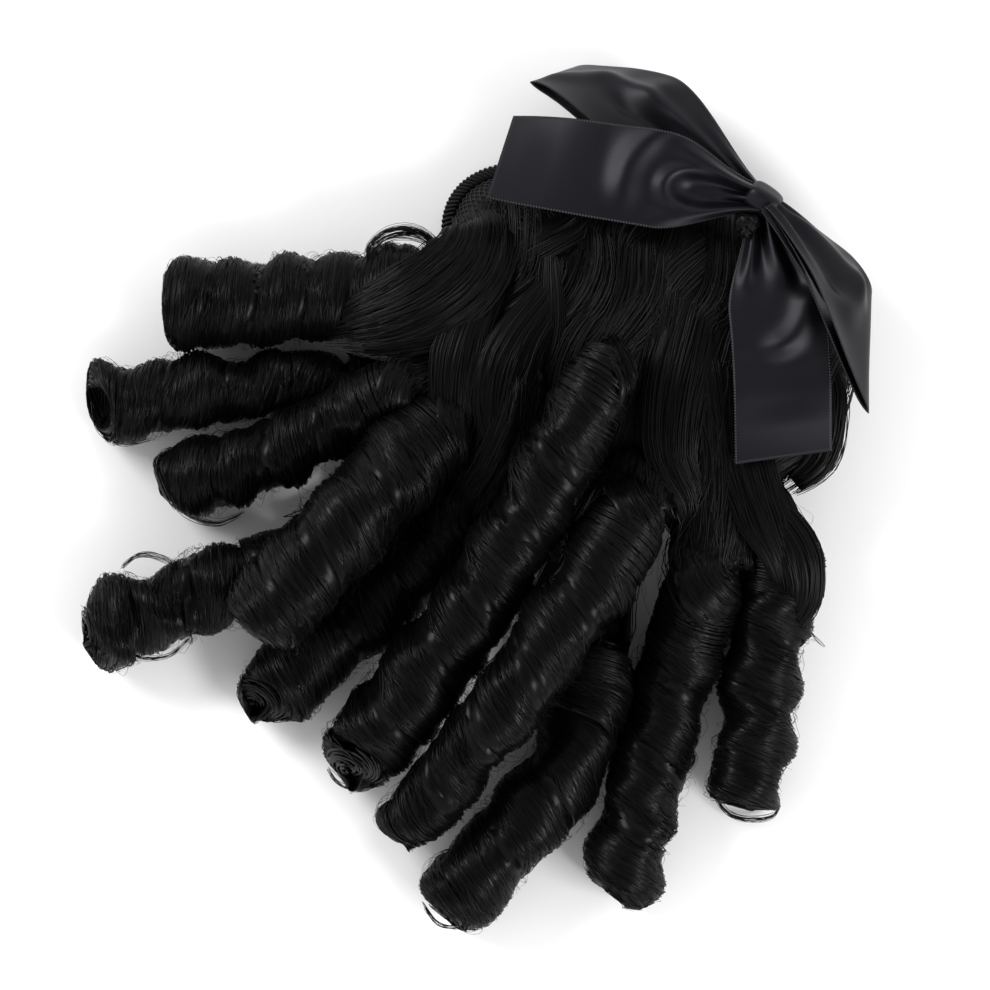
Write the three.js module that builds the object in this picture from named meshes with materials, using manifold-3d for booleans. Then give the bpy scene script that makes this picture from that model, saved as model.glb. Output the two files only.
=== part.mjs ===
// Ringlet ponytail with a satin bow, lying on a surface. Millimetres, +Z up.
import * as THREE from "three";
import Module from "manifold-3d";

const wasm = await Module();
wasm.setup();

// Middle of the outline seen from above, which becomes the origin
const MIDDLE = { x: -0.9, y: -3.2 };

// Driving sizes
const GAP = 0.3;
const RIBBON_WIDTH = 40;
const RIBBON_THICK = 1.0;
const HAIR_THICK = 3.2;
const COIL_PITCH = 21;
const COIL_RAMP = 34;
const COIL_FILL = 0.88;
const LIFT_LENGTH = 24;
const STEPS_PER_TURN = 10;
const FLAT_STEP = 14;
const REST_HEIGHT = 2.3;

// The cap, its band and the hair over it share one heading: the line from end to end of the cap
const HEADING = THREE.MathUtils.degToRad(-35);
const ALONG = new THREE.Vector3(Math.cos(HEADING), Math.sin(HEADING), 0);
const ACROSS = new THREE.Vector3(-Math.sin(HEADING), Math.cos(HEADING), 0);
const CAP = { x: 59.5, y: 77.5, long: 80, back: 40, front: 40, high: 31, wall: 1.6, power: 2.5,
  sides: 28, levels: 5 };
const BAND = { wide: 5, high: 7, low: 0.2, sides: 28 };
const CROWN = { x: 75.5, y: 76, long: 88, back: 56, front: 78, high: 41, power: 2.6,
  sides: 44, levels: 6, base: 1.5, locks: 11, ridge: 2.2 };

// Ringlets: four places on the axis, outer radius at the start and the tip, share of the length before
// the lock winds, the width of the lock where it is flat, and the side of the coil that it joins
const RINGLETS = [
  { name: "ringlet_01", root: [12, 102, 30], shoulder: [-24, 87, 24], middle: [-77, 81, 19],
    tip: [-128, 80, 19.2], start_radius: 18.5, tip_radius: 19,
    coil_from: 0.3, lock_width: 32, joins: 0 },
  { name: "ringlet_02", root: [14, 68, 14], shoulder: [-26, 47, 4], middle: [-64, 48, 13.4],
    tip: [-157, 38, 17.6], start_radius: 12.2, tip_radius: 17.4,
    coil_from: 0.42, lock_width: 20, joins: 180 },
  { name: "ringlet_03", root: [18, 60, 32], shoulder: [-27, 47, 36], middle: [-85, 17, 25.5],
    tip: [-128, 4, 17.2], start_radius: 14, tip_radius: 17,
    coil_from: 0.26, lock_width: 20, joins: 0 },
  { name: "ringlet_04", root: [28, 44, 18], shoulder: [-8, 33, 30], middle: [-50, -8, 51],
    tip: [-90, -54, 50], start_radius: 19, tip_radius: 20.5,
    coil_from: 0.31, lock_width: 22, joins: 0 },
  { name: "ringlet_05", root: [-3, 23, 6], shoulder: [-61, -16, 4], middle: [-88, -28, 16],
    tip: [-157, -52, 19.2], start_radius: 16, tip_radius: 19,
    coil_from: 0.47, lock_width: 20, joins: 180 },
  { name: "ringlet_06", root: [16, 75, 40], shoulder: [13, 30, 43], middle: [-19, -22, 17],
    tip: [-87, -85, 17.7], start_radius: 16.5, tip_radius: 17.5,
    coil_from: 0.46, lock_width: 24, joins: 0 },
  { name: "ringlet_07", root: [61, 75, 38], shoulder: [52, 50, 60], middle: [4, -37, 44],
    tip: [-51, -112, 22], start_radius: 18, tip_radius: 20,
    coil_from: 0.12, lock_width: 24, joins: 0 },
  { name: "ringlet_08", root: [74, 40, 22], shoulder: [64, -4, 46], middle: [18, -76, 53],
    tip: [-29, -138, 20], start_radius: 19, tip_radius: 14.5,
    coil_from: 0.2, lock_width: 22, joins: 0 },
  { name: "ringlet_09", root: [75, 23, 10], shoulder: [51, -39, 6], middle: [38, -100, 19],
    tip: [-12, -169, 18.7], start_radius: 18, tip_radius: 18.5,
    coil_from: 0.36, lock_width: 20, joins: 180 },
  { name: "ringlet_10", root: [92, 77, 43], shoulder: [93, -2, 37], middle: [82, -80, 18.3],
    tip: [60, -166, 18.5], start_radius: 17.5, tip_radius: 18.3,
    coil_from: 0.36, lock_width: 28, joins: 0 },
  { name: "ringlet_11", root: [121, 23, 26], shoulder: [128, -16, 20], middle: [118, -76, 17.6],
    tip: [110, -130, 17.6], start_radius: 17, tip_radius: 17.4,
    coil_from: 0.2, lock_width: 24, joins: 0 },
];

// The small loop of hair that stands out above the first ringlet
const LOOSE_CURL = { radius: 2.4, sides: 6, steps: 12,
  places: [[-12, 94, 31], [-17, 104, 27], [-24, 110.5, 26], [-36, 111, 27], [-46, 104, 28],
    [-47, 97, 29.5]] };

// The bow: loops are closed teardrops of ribbon, tails are single lengths
const KNOT = { x: 117, y: 121, z: 42, along: 7.5, across: 7, high: 9, pleats: 5, crease: 0.7,
  sides: 16, levels: 8 };
const TAILS = [
  { name: "bow_tail_left", from: [117, 121, 46], middle: [66, 130.5, 51], end: [9.5, 138.6, 46],
    pinch: 6, fold: 5, fold_at: 0.1, fold_reach: 0.62, end_skew: -2.2 },
  { name: "bow_tail_right", from: [117, 121, 39], middle: [123.5, 68, 50], end: [125.4, 15.7, 46],
    pinch: 7, fold: 4.5, fold_at: 0.15, fold_reach: 0.75, end_skew: 1.9 },
];
const LOOPS = [
  { name: "bow_loop_left", from: [117, 121, 37], tip: [42, 169.5, 26], roll: 45,
    rise: 10, drop: 5, pinch: 6, skew: -14 },
  { name: "bow_loop_right", from: [118, 120, 48], tip: [159, 57, 46], roll: -55,
    rise: 9, drop: 5, pinch: 6, skew: 18 },
];
const LOOP_OPEN = 0.28;
const LAYER_GAP = 1.1;
const PLEATS = 3;
const PLEAT_DEPTH = 2.4;
const GATHER_REACH = 0.42;
const FOLD_WIDTH = 0.16;
const EDGE_CLEARANCE = 0.02;
const GATHER = { x: 110, y: 110.5, z: 45, radius: 4.8, flat: 0.7, puckers: 5, pucker: 0.8,
  sides: 12, levels: 6 };

const HAIR = { color: 0x0b0a0a, roughness: 0.42 };
const SATIN = { color: 0x1a1a1e, roughness: 0.38 };
const NET = { color: 0x0d0d0e, roughness: 0.85 };

const assembly = new THREE.Group();
assembly.name = "ringlet_ponytail";

function smooth(t) {
  const x = Math.min(1, Math.max(0, t));
  return x * x * (3 - 2 * x);
}

function mix(a, b, t) {
  return a + (b - a) * t;
}

// Closed solids

function solidFrom(points, triangles) {
  const positions = new Float32Array(points.length * 3);
  points.forEach((p, i) => p.toArray(positions, i * 3));
  return new wasm.Manifold(new wasm.Mesh({
    numProp: 3,
    vertProperties: positions,
    triVerts: new Uint32Array(triangles.flat()),
  }));
}

function signedVolume(points, triangles) {
  let volume = 0;
  for (const [a, b, c] of triangles) {
    volume += points[a].dot(points[b].clone().cross(points[c])) / 6;
  }
  return volume;
}

function outward(points, triangles) {
  if (signedVolume(points, triangles) > 0) return triangles;
  return triangles.map(([a, b, c]) => [a, c, b]);
}

function largestPart(solid) {
  const parts = solid.decompose();
  return parts.reduce((best, part) => (part.volume() > best.volume() ? part : best));
}

function addPiece(name, solid, look) {
  const mesh = solid.getMesh();
  const geometry = new THREE.BufferGeometry();
  const positions = new Float32Array(mesh.numVert * 3);
  for (let i = 0; i < mesh.numVert; i += 1) {
    for (let k = 0; k < 3; k += 1) positions[i * 3 + k] = mesh.vertProperties[i * mesh.numProp + k];
  }
  geometry.setAttribute("position", new THREE.BufferAttribute(positions, 3));
  geometry.setIndex(Array.from(mesh.triVerts));
  geometry.computeVertexNormals();
  const piece = new THREE.Mesh(geometry, new THREE.MeshStandardMaterial(look));
  piece.name = name;
  piece.position.set(-MIDDLE.x, -MIDDLE.y, 0);
  assembly.add(piece);
}

// A skin through rings of points, closed at both ends
function loft(rings) {
  const count = rings[0].length;
  const points = rings.flat();
  const triangles = [];
  for (let i = 0; i + 1 < rings.length; i += 1) {
    for (let j = 0; j < count; j += 1) {
      const a = i * count + j;
      const b = i * count + ((j + 1) % count);
      triangles.push([a, b, b + count], [a, b + count, a + count]);
    }
  }
  const last = (rings.length - 1) * count;
  for (let j = 1; j + 1 < count; j += 1) {
    triangles.push([0, j + 1, j], [last, last + j, last + j + 1]);
  }
  return solidFrom(points, outward(points, triangles));
}

// The oval domes of the cap and the crown

function domePoint(shape, grow, turn, rise) {
  const ring = Math.cos(rise) ** (2 / shape.power);
  const height = Math.sin(rise) ** (2 / shape.power);
  const wave = shape.locks ? Math.cos(shape.locks * turn + 1.5 * rise) : 0;
  const spread = grow + (shape.locks ? shape.ridge * wave * smooth(1.4 * ring) : 0);
  const half = turn > Math.PI ? shape.front : shape.back;
  const out = new THREE.Vector3(shape.x, shape.y, (shape.high + grow) * height);
  out.addScaledVector(ALONG, (shape.long + spread) * ring * Math.cos(turn));
  out.addScaledVector(ACROSS, (half + spread) * ring * Math.sin(turn));
  return out;
}

function dome(shape, grow, bottom) {
  const { sides, levels } = shape;
  const points = [];
  const triangles = [];
  for (let i = 0; i < levels; i += 1) {
    const rise = (Math.PI / 2) * (i / levels);
    for (let j = 0; j < sides; j += 1) {
      const point = domePoint(shape, grow, (2 * Math.PI * j) / sides, rise);
      if (i === 0) point.z = bottom;
      points.push(point);
    }
  }
  const top = points.push(new THREE.Vector3(shape.x, shape.y, shape.high + grow)) - 1;
  const base = points.push(new THREE.Vector3(shape.x, shape.y, bottom)) - 1;
  for (let j = 0; j < sides; j += 1) {
    const k = (j + 1) % sides;
    for (let i = 0; i + 1 < levels; i += 1) {
      const a = i * sides + j;
      const b = i * sides + k;
      triangles.push([a, b, b + sides], [a, b + sides, a + sides]);
    }
    const edge = (levels - 1) * sides;
    triangles.push([edge + j, edge + k, top], [k, j, base]);
  }
  return solidFrom(points, outward(points, triangles));
}

function bandRing(grow) {
  const corners = [[0, 0], [1, 0], [1, 1], [0, 1]];
  const points = [];
  const triangles = [];
  for (let i = 0; i < BAND.sides; i += 1) {
    const next = ((i + 1) % BAND.sides) * 4;
    corners.forEach(([out, up], j) => {
      const reach = GAP - grow + out * (BAND.wide + 2 * grow);
      const point = domePoint(CAP, reach, (2 * Math.PI * i) / BAND.sides, 0);
      point.z = up ? BAND.high + grow : BAND.low - grow;
      points.push(point);
      const k = (j + 1) % 4;
      triangles.push([i * 4 + j, i * 4 + k, next + k], [i * 4 + j, next + k, next + j]);
    });
  }
  return solidFrom(points, outward(points, triangles));
}

addPiece("cap", dome(CAP, 0, 0).subtract(dome(CAP, -CAP.wall, -1)), NET);
addPiece("cap_band", bandRing(0), NET);

const underCrown = dome(CAP, GAP, -1).add(bandRing(GAP));
const crownTool = dome(CROWN, GAP, -1);
addPiece("crown_hair", largestPart(dome(CROWN, 0, CROWN.base).subtract(underCrown)), HAIR);

// Ringlets

function ringletStations(row, length) {
  const flat = row.coil_from * length;
  const start = THREE.MathUtils.degToRad(row.joins);
  const stations = [];
  const flatSteps = Math.max(3, Math.round(flat / FLAT_STEP));
  for (let i = 0; i < flatSteps; i += 1) stations.push({ along: (flat * i) / flatSteps, angle: start });
  const stepAngle = (2 * Math.PI) / STEPS_PER_TURN;
  let along = flat;
  let angle = start;
  while (along < length) {
    stations.push({ along, angle });
    const rate = ((2 * Math.PI) / COIL_PITCH) * Math.max(0.16, smooth((along - flat + 3) / COIL_RAMP));
    const step = Math.min(stepAngle / rate, 0.6 * FLAT_STEP);
    along += step;
    angle += rate * step;
  }
  return stations;
}

function ringletRings(row) {
  const places = [row.root, row.shoulder, row.middle, row.tip].map((p) => new THREE.Vector3(...p));
  const axis = new THREE.CatmullRomCurve3(places, false, "centripetal");
  const length = axis.getLength();
  const flat = row.coil_from * length;
  const stations = ringletStations(row, length);
  const spots = stations.map(({ along, angle }) => {
    const share = Math.min(1, along / length);
    const centre = axis.getPointAt(share);
    const tangent = axis.getTangentAt(share);
    const side = tangent.clone().cross(new THREE.Vector3(0, 0, 1)).normalize();
    const lift = side.clone().cross(tangent);
    const coiled = Math.max(0, (along - flat) / (length - flat));
    const outer = mix(row.start_radius, row.tip_radius, coiled);
    const resting = (outer + 0.3) * smooth((along - flat + LIFT_LENGTH / 2) / LIFT_LENGTH);
    centre.z = Math.max(centre.z, resting);
    const lifted = smooth((along - flat + LIFT_LENGTH) / LIFT_LENGTH);
    const normal = lift.multiplyScalar(Math.cos(angle)).addScaledVector(side, -Math.sin(angle));
    const point = centre.addScaledVector(normal, (outer - 0.6 * HAIR_THICK) * lifted);
    point.z = Math.max(point.z, REST_HEIGHT);
    return { point, normal };
  });
  const section = [[-0.5, -0.4], [0.5, -0.4], [0.5, 0.1], [0, 0.6], [-0.5, 0.1]];
  return spots.map(({ point, normal }, i) => {
    const before = spots[Math.max(0, i - 1)].point;
    const after = spots[Math.min(spots.length - 1, i + 1)].point;
    const tangent = after.clone().sub(before).normalize();
    const wide = tangent.clone().cross(normal).normalize();
    const out = wide.clone().cross(tangent);
    const { along } = stations[i];
    const narrowed = smooth(along / (flat + COIL_RAMP));
    const ending = smooth((length - along) / (0.4 * COIL_PITCH));
    const width = mix(row.lock_width, COIL_FILL * COIL_PITCH, narrowed) * mix(0.45, 1, ending);
    return section.map(([w, t]) => point.clone()
      .addScaledVector(wide, w * width)
      .addScaledVector(out, t * HAIR_THICK));
  });
}

function tubeRings(shape) {
  const places = shape.places.map((p) => new THREE.Vector3(...p));
  const axis = new THREE.CatmullRomCurve3(places, false, "centripetal");
  const frames = axis.computeFrenetFrames(shape.steps);
  const rings = [];
  for (let i = 0; i <= shape.steps; i += 1) {
    const centre = axis.getPointAt(i / shape.steps);
    const ring = [];
    for (let j = 0; j < shape.sides; j += 1) {
      const angle = (2 * Math.PI * j) / shape.sides;
      ring.push(centre.clone()
        .addScaledVector(frames.normals[i], shape.radius * Math.cos(angle))
        .addScaledVector(frames.binormals[i], shape.radius * Math.sin(angle)));
    }
    rings.push(ring);
  }
  return rings;
}

const looseCurl = loft(tubeRings(LOOSE_CURL));
RINGLETS.forEach((row, i) => {
  const coil = loft(ringletRings(row));
  const lock = i === 0 ? coil.add(looseCurl) : coil;
  addPiece(row.name, largestPart(lock.subtract(crownTool)), HAIR);
});

// The bow

// Points either side of a surface given at (u, v), both from 0 to 1; beyond reaches past the edges
function ribbonLayers(surface, along, across, thick, beyond) {
  const front = [];
  const back = [];
  const step = 1e-3;
  for (let i = 0; i <= along; i += 1) {
    for (let j = 0; j <= across; j += 1) {
      const u = i / along;
      const v = j / across + (j === across ? beyond : 0) - (j === 0 ? beyond : 0);
      const du = surface(Math.min(1, u + step), v).sub(surface(Math.max(0, u - step), v));
      const dv = surface(u, v + step).sub(surface(u, v - step));
      const normal = du.cross(dv).normalize();
      const point = surface(u, v);
      front.push(point.clone().addScaledVector(normal, thick / 2));
      back.push(point.clone().addScaledVector(normal, -thick / 2));
    }
  }
  return { front, back };
}

// The thin closed wall of a ribbon
function ribbonWall(surface, along, across) {
  const { front, back } = ribbonLayers(surface, along, across, RIBBON_THICK, 0);
  const points = front.concat(back);
  const other = front.length;
  const at = (i, j) => i * (across + 1) + j;
  const triangles = [];
  const quad = (a, b, c, d) => triangles.push([a, b, c], [a, c, d]);
  for (let i = 0; i < along; i += 1) {
    for (let j = 0; j < across; j += 1) {
      const [a, b, c, d] = [at(i, j), at(i + 1, j), at(i + 1, j + 1), at(i, j + 1)];
      quad(a, b, c, d);
      quad(other + d, other + c, other + b, other + a);
    }
    quad(other + at(i, 0), other + at(i + 1, 0), at(i + 1, 0), at(i, 0));
    quad(at(i, across), at(i + 1, across), other + at(i + 1, across), other + at(i, across));
  }
  for (let j = 0; j < across; j += 1) {
    quad(at(0, j), at(0, j + 1), other + at(0, j + 1), other + at(0, j));
    quad(other + at(along, j), other + at(along, j + 1), at(along, j + 1), at(along, j));
  }
  return solidFrom(points, outward(points, triangles));
}

// The room that a ribbon takes with its clearance, one block for each cell of its wall
function ribbonRoom(surface, along, across) {
  const thick = RIBBON_THICK + 3 * GAP;
  const { front, back } = ribbonLayers(surface, along, across, thick, EDGE_CLEARANCE);
  const blocks = [];
  for (let i = 0; i < along; i += 1) {
    for (let j = 0; j < across; j += 1) {
      const a = i * (across + 1) + j;
      const corners = [a, a + 1, a + across + 1, a + across + 2];
      const cell = corners.flatMap((k) => [front[k].toArray(), back[k].toArray()]);
      blocks.push(wasm.Manifold.hull(cell));
    }
  }
  return wasm.Manifold.union(blocks);
}

function pleat(spread, v, lean) {
  return PLEAT_DEPTH * (1 - spread) * Math.cos(2 * Math.PI * PLEATS * (v - 0.5) + lean);
}

function loopSurface(row) {
  const from = new THREE.Vector3(...row.from);
  const out = new THREE.Vector3(...row.tip).sub(from);
  const length = out.length();
  out.normalize();
  const flatSide = out.clone().cross(new THREE.Vector3(0, 0, 1)).normalize();
  const wide = flatSide.applyAxisAngle(out, THREE.MathUtils.degToRad(row.roll));
  const up = wide.clone().cross(out);
  return (u, v) => {
    const turn = mix(LOOP_OPEN, 2 * Math.PI - LOOP_OPEN, u);
    const reach = (length * (1 - Math.cos(turn))) / 2;
    const puff = -Math.sin(turn);
    const apart = LAYER_GAP * Math.sign(puff) * smooth(Math.abs(puff) * 2);
    const lift = (puff > 0 ? row.rise : row.drop) * puff + apart;
    const spread = smooth(reach / length / GATHER_REACH);
    const half = mix(row.pinch, RIBBON_WIDTH / 2, spread);
    return from.clone()
      .addScaledVector(out, reach + row.skew * (2 * v - 1) * (reach / length) ** 2)
      .addScaledVector(up, lift + pleat(spread, v, 0) * 0.5)
      .addScaledVector(wide, (2 * v - 1) * half);
  };
}

function tailSurface(row) {
  const axis = new THREE.CatmullRomCurve3(
    [row.from, row.middle, row.end].map((p) => new THREE.Vector3(...p)), false, "centripetal");
  return (u, v) => {
    const tangent = axis.getTangent(u);
    const wide = tangent.clone().cross(new THREE.Vector3(0, 0, 1)).normalize();
    const up = wide.clone().cross(tangent);
    const spread = smooth(u / GATHER_REACH);
    const half = mix(row.pinch, RIBBON_WIDTH / 2, spread);
    const ridge = (v - 0.5 - row.fold_at) / FOLD_WIDTH;
    const fold = row.fold * Math.exp(-ridge * ridge) * (1 - smooth(u / row.fold_reach)) * spread;
    return axis.getPoint(u)
      .addScaledVector(tangent, row.end_skew * (2 * v - 1) * u)
      .addScaledVector(up, pleat(spread, v, 0.6) + fold)
      .addScaledVector(wide, (2 * v - 1) * half);
  };
}

function lump(centre, sizes, heading, ripple, sides, levels) {
  const points = [];
  const triangles = [];
  const along = new THREE.Vector3(Math.cos(heading), Math.sin(heading), 0);
  const across = new THREE.Vector3(-Math.sin(heading), Math.cos(heading), 0);
  const place = (turn, rise) => {
    const swell = 1 + ripple(turn, rise);
    return centre.clone()
      .addScaledVector(along, sizes[0] * swell * Math.cos(rise) * Math.cos(turn))
      .addScaledVector(across, sizes[1] * swell * Math.cos(rise) * Math.sin(turn))
      .add(new THREE.Vector3(0, 0, sizes[2] * swell * Math.sin(rise)));
  };
  for (let i = 1; i < levels; i += 1) {
    for (let j = 0; j < sides; j += 1) {
      points.push(place((2 * Math.PI * j) / sides, Math.PI * (i / levels - 0.5)));
    }
  }
  const low = points.push(place(0, -Math.PI / 2)) - 1;
  const high = points.push(place(0, Math.PI / 2)) - 1;
  for (let j = 0; j < sides; j += 1) {
    const k = (j + 1) % sides;
    for (let i = 0; i + 2 < levels; i += 1) {
      const a = i * sides + j;
      const b = i * sides + k;
      triangles.push([a, b, b + sides], [a, b + sides, a + sides]);
    }
    triangles.push([low, k, j], [high, (levels - 2) * sides + j, (levels - 2) * sides + k]);
  }
  return solidFrom(points, outward(points, triangles));
}

function knotLump(grow) {
  const creases = (turn) => (KNOT.crease / KNOT.along) * Math.cos(KNOT.pleats * turn);
  const centre = new THREE.Vector3(KNOT.x, KNOT.y, KNOT.z);
  const sizes = [KNOT.along + grow, KNOT.across + grow, KNOT.high + grow];
  return lump(centre, sizes, HEADING, creases, KNOT.sides, KNOT.levels);
}

const limbs = [
  ...TAILS.map((row) => ({ name: row.name, surface: tailSurface(row), along: 10, across: 6 })),
  ...LOOPS.map((row) => ({ name: row.name, surface: loopSurface(row), along: 18, across: 5 })),
];
let taken = knotLump(GAP);
for (const { name, surface, along, across } of limbs) {
  addPiece(name, largestPart(ribbonWall(surface, along, across).subtract(taken)), SATIN);
  taken = taken.add(ribbonRoom(surface, along, across));
}
addPiece("bow_knot", knotLump(0), SATIN);
const puckers = (turn, rise) =>
  (GATHER.pucker / GATHER.radius) * Math.cos(GATHER.puckers * turn + 3 * rise);
const gatherCentre = new THREE.Vector3(GATHER.x, GATHER.y, GATHER.z);
const gatherSizes = [GATHER.radius, GATHER.radius, GATHER.radius * GATHER.flat];
const gather = lump(gatherCentre, gatherSizes, HEADING, puckers, GATHER.sides, GATHER.levels);
addPiece("bow_gather", largestPart(gather.subtract(taken)), NET);

export default assembly;
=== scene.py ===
"""Ringlet ponytail with a satin bow: fibres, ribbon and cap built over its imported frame."""
import math

import bpy
import numpy as np
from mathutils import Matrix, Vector


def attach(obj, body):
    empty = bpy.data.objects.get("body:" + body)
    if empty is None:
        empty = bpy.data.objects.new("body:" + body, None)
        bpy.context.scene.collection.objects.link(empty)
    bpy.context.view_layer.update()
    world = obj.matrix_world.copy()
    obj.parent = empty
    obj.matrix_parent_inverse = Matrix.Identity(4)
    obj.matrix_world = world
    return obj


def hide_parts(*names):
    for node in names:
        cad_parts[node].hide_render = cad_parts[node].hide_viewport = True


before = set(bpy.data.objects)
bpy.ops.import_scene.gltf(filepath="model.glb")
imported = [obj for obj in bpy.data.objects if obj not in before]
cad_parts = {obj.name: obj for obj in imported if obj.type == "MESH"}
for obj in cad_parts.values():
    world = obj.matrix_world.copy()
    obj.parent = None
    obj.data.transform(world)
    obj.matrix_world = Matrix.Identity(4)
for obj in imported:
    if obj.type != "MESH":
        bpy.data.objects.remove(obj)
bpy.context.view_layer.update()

bl_info = {
    "name": "Ringlet ponytail with a satin bow",
    "version": (1, 0, 0),
    "blender": (4, 5, 0),
    "location": "View3D > Sidebar > Ponytail",
    "description": "Builds a hairpiece of ringlets, its cap and its ribbon bow",
    "category": "Object",
}

# Sizes in millimetres, before the middle is moved to the origin
MIDDLE = np.array([-0.9, -3.2, 0.0])
GAP = 0.3
STRAND_FLOOR = 0.4
RIBBON_WIDTH = 40.0
HAIR_THICK = 3.2
HAIR_OUT = 0.6 * HAIR_THICK
HAIR_IN = 0.4 * HAIR_THICK
COIL_RAMP = 34.0
LIFT_LENGTH = 24.0
REST_HEIGHT = 2.3
HEADING = math.radians(-35)
ALONG = np.array([math.cos(HEADING), math.sin(HEADING), 0.0])
ACROSS = np.array([-math.sin(HEADING), math.cos(HEADING), 0.0])
UP = np.array([0.0, 0.0, 1.0])
CAP = {"x": 59.5, "y": 77.5, "long": 80, "left": 80, "back": 40, "front": 40, "high": 31,
       "wall": 1.6, "power": 2.5, "sides": 96, "levels": 22, "tone": 0.0}
BAND = {"wide": 5.0, "high": 7.0, "low": 0.2, "skin": 0.6, "sides": 150, "tone": 0.4}
BAND_CORNERS = (
    {"out": 0, "up": 0},
    {"out": 0.8, "up": 0},
    {"out": 0.95, "up": 0.5},
    {"out": 0.8, "up": 0.93},
    {"out": 0, "up": 0.93},
)
STITCH = {"points": 5, "inset": 1.0, "bulge": 0.5, "from": 0.08, "reach": 0.40, "low": 0.05, "tall": 0.95,
          "thick": 0.9}
CROWN = {"x": 75.5, "y": 76, "long": 88, "left": 88, "back": 56, "front": 78, "high": 41, "power": 2.6,
         "base": 1.5, "locks": 11, "ridge": 2.2, "twist": 1.5, "fade": 1.4, "skin": -0.8, "lining": -4.0,
         "sides": 120, "levels": 26, "tone": 0.2, "rim": 0.995}
RIBS = {"slant": 1.6, "thick": 1.5, "round": 0.8, "points": 7, "inner": 0.4, "outer": 0.3, "tone": (0.5, 1)}
NET = {"lines": 96, "points": 9, "slant": 0.5, "low": 0.02, "top": 1.0, "proud": 0.5, "share": 0.8,
       "tone": (0.6, 1)}

# Ringlets: four places on the axis, outer radius at the start and the tip, the width of the lock where
# it is flat, and the side of the coil that it joins, in degrees from the top
RINGLETS = (
    {"name": "ringlet_01", "places": ((12, 102, 30), (-24, 87, 24), (-77, 81, 19), (-128, 78.8, 19.7)),
     "start_radius": 18.5, "tip_radius": 19.4, "lock_width": 32, "joins": 0},
    {"name": "ringlet_02", "places": ((14, 68, 14), (-26, 47, 4), (-70, 47.5, 13.4), (-156.5, 38, 17.6)),
     "start_radius": 12.2, "tip_radius": 17.8, "lock_width": 12, "joins": 180},
    {"name": "ringlet_03", "places": ((18, 60, 32), (-27, 47, 36), (-85, 17, 25.5), (-128, 4, 17.2)),
     "start_radius": 14, "tip_radius": 17, "lock_width": 20, "joins": 0},
    {"name": "ringlet_04", "places": ((28, 44, 18), (-8, 33, 30), (-50, -8, 51), (-90, -54, 50)),
     "start_radius": 19, "tip_radius": 20.5, "lock_width": 22, "joins": 0},
    {"name": "ringlet_05", "places": ((-3, 23, 6), (-61, -16, 4), (-88, -30, 16), (-157.5, -56, 19.2)),
     "start_radius": 14, "tip_radius": 19.6, "lock_width": 20, "joins": 180},
    {"name": "ringlet_06", "places": ((16, 75, 40), (13, 30, 43), (-19, -22, 17), (-89, -85, 17.7)),
     "start_radius": 16.5, "tip_radius": 17.5, "lock_width": 24, "joins": 0},
    {"name": "ringlet_07", "places": ((60, 75, 38), (50, 48.5, 59), (4, -37, 44), (-52, -113.2, 22)),
     "start_radius": 15.8, "tip_radius": 20, "lock_width": 24, "joins": 0},
    {"name": "ringlet_08", "places": ((74, 40, 22), (64, -4, 46), (18, -76, 53), (-30.5, -139, 20)),
     "start_radius": 19, "tip_radius": 14, "lock_width": 22, "joins": 0},
    {"name": "ringlet_09", "places": ((75, 23, 10), (51, -39, 6), (41.5, -102, 19), (-11.5, -170, 18.7)),
     "start_radius": 18, "tip_radius": 17.4, "lock_width": 20, "joins": 180},
    {"name": "ringlet_10", "places": ((92, 77, 43), (98.5, -8, 36), (80.3, -80, 17.8), (57.2, -165, 17)),
     "start_radius": 17.5, "tip_radius": 16.4, "lock_width": 28, "joins": 0},
    {"name": "ringlet_11", "places": ((114, 21, 26), (124.5, -17, 20), (118, -76, 17.6), (110, -130, 17)),
     "start_radius": 17, "tip_radius": 16.2, "lock_width": 14, "joins": 0},
)

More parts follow.
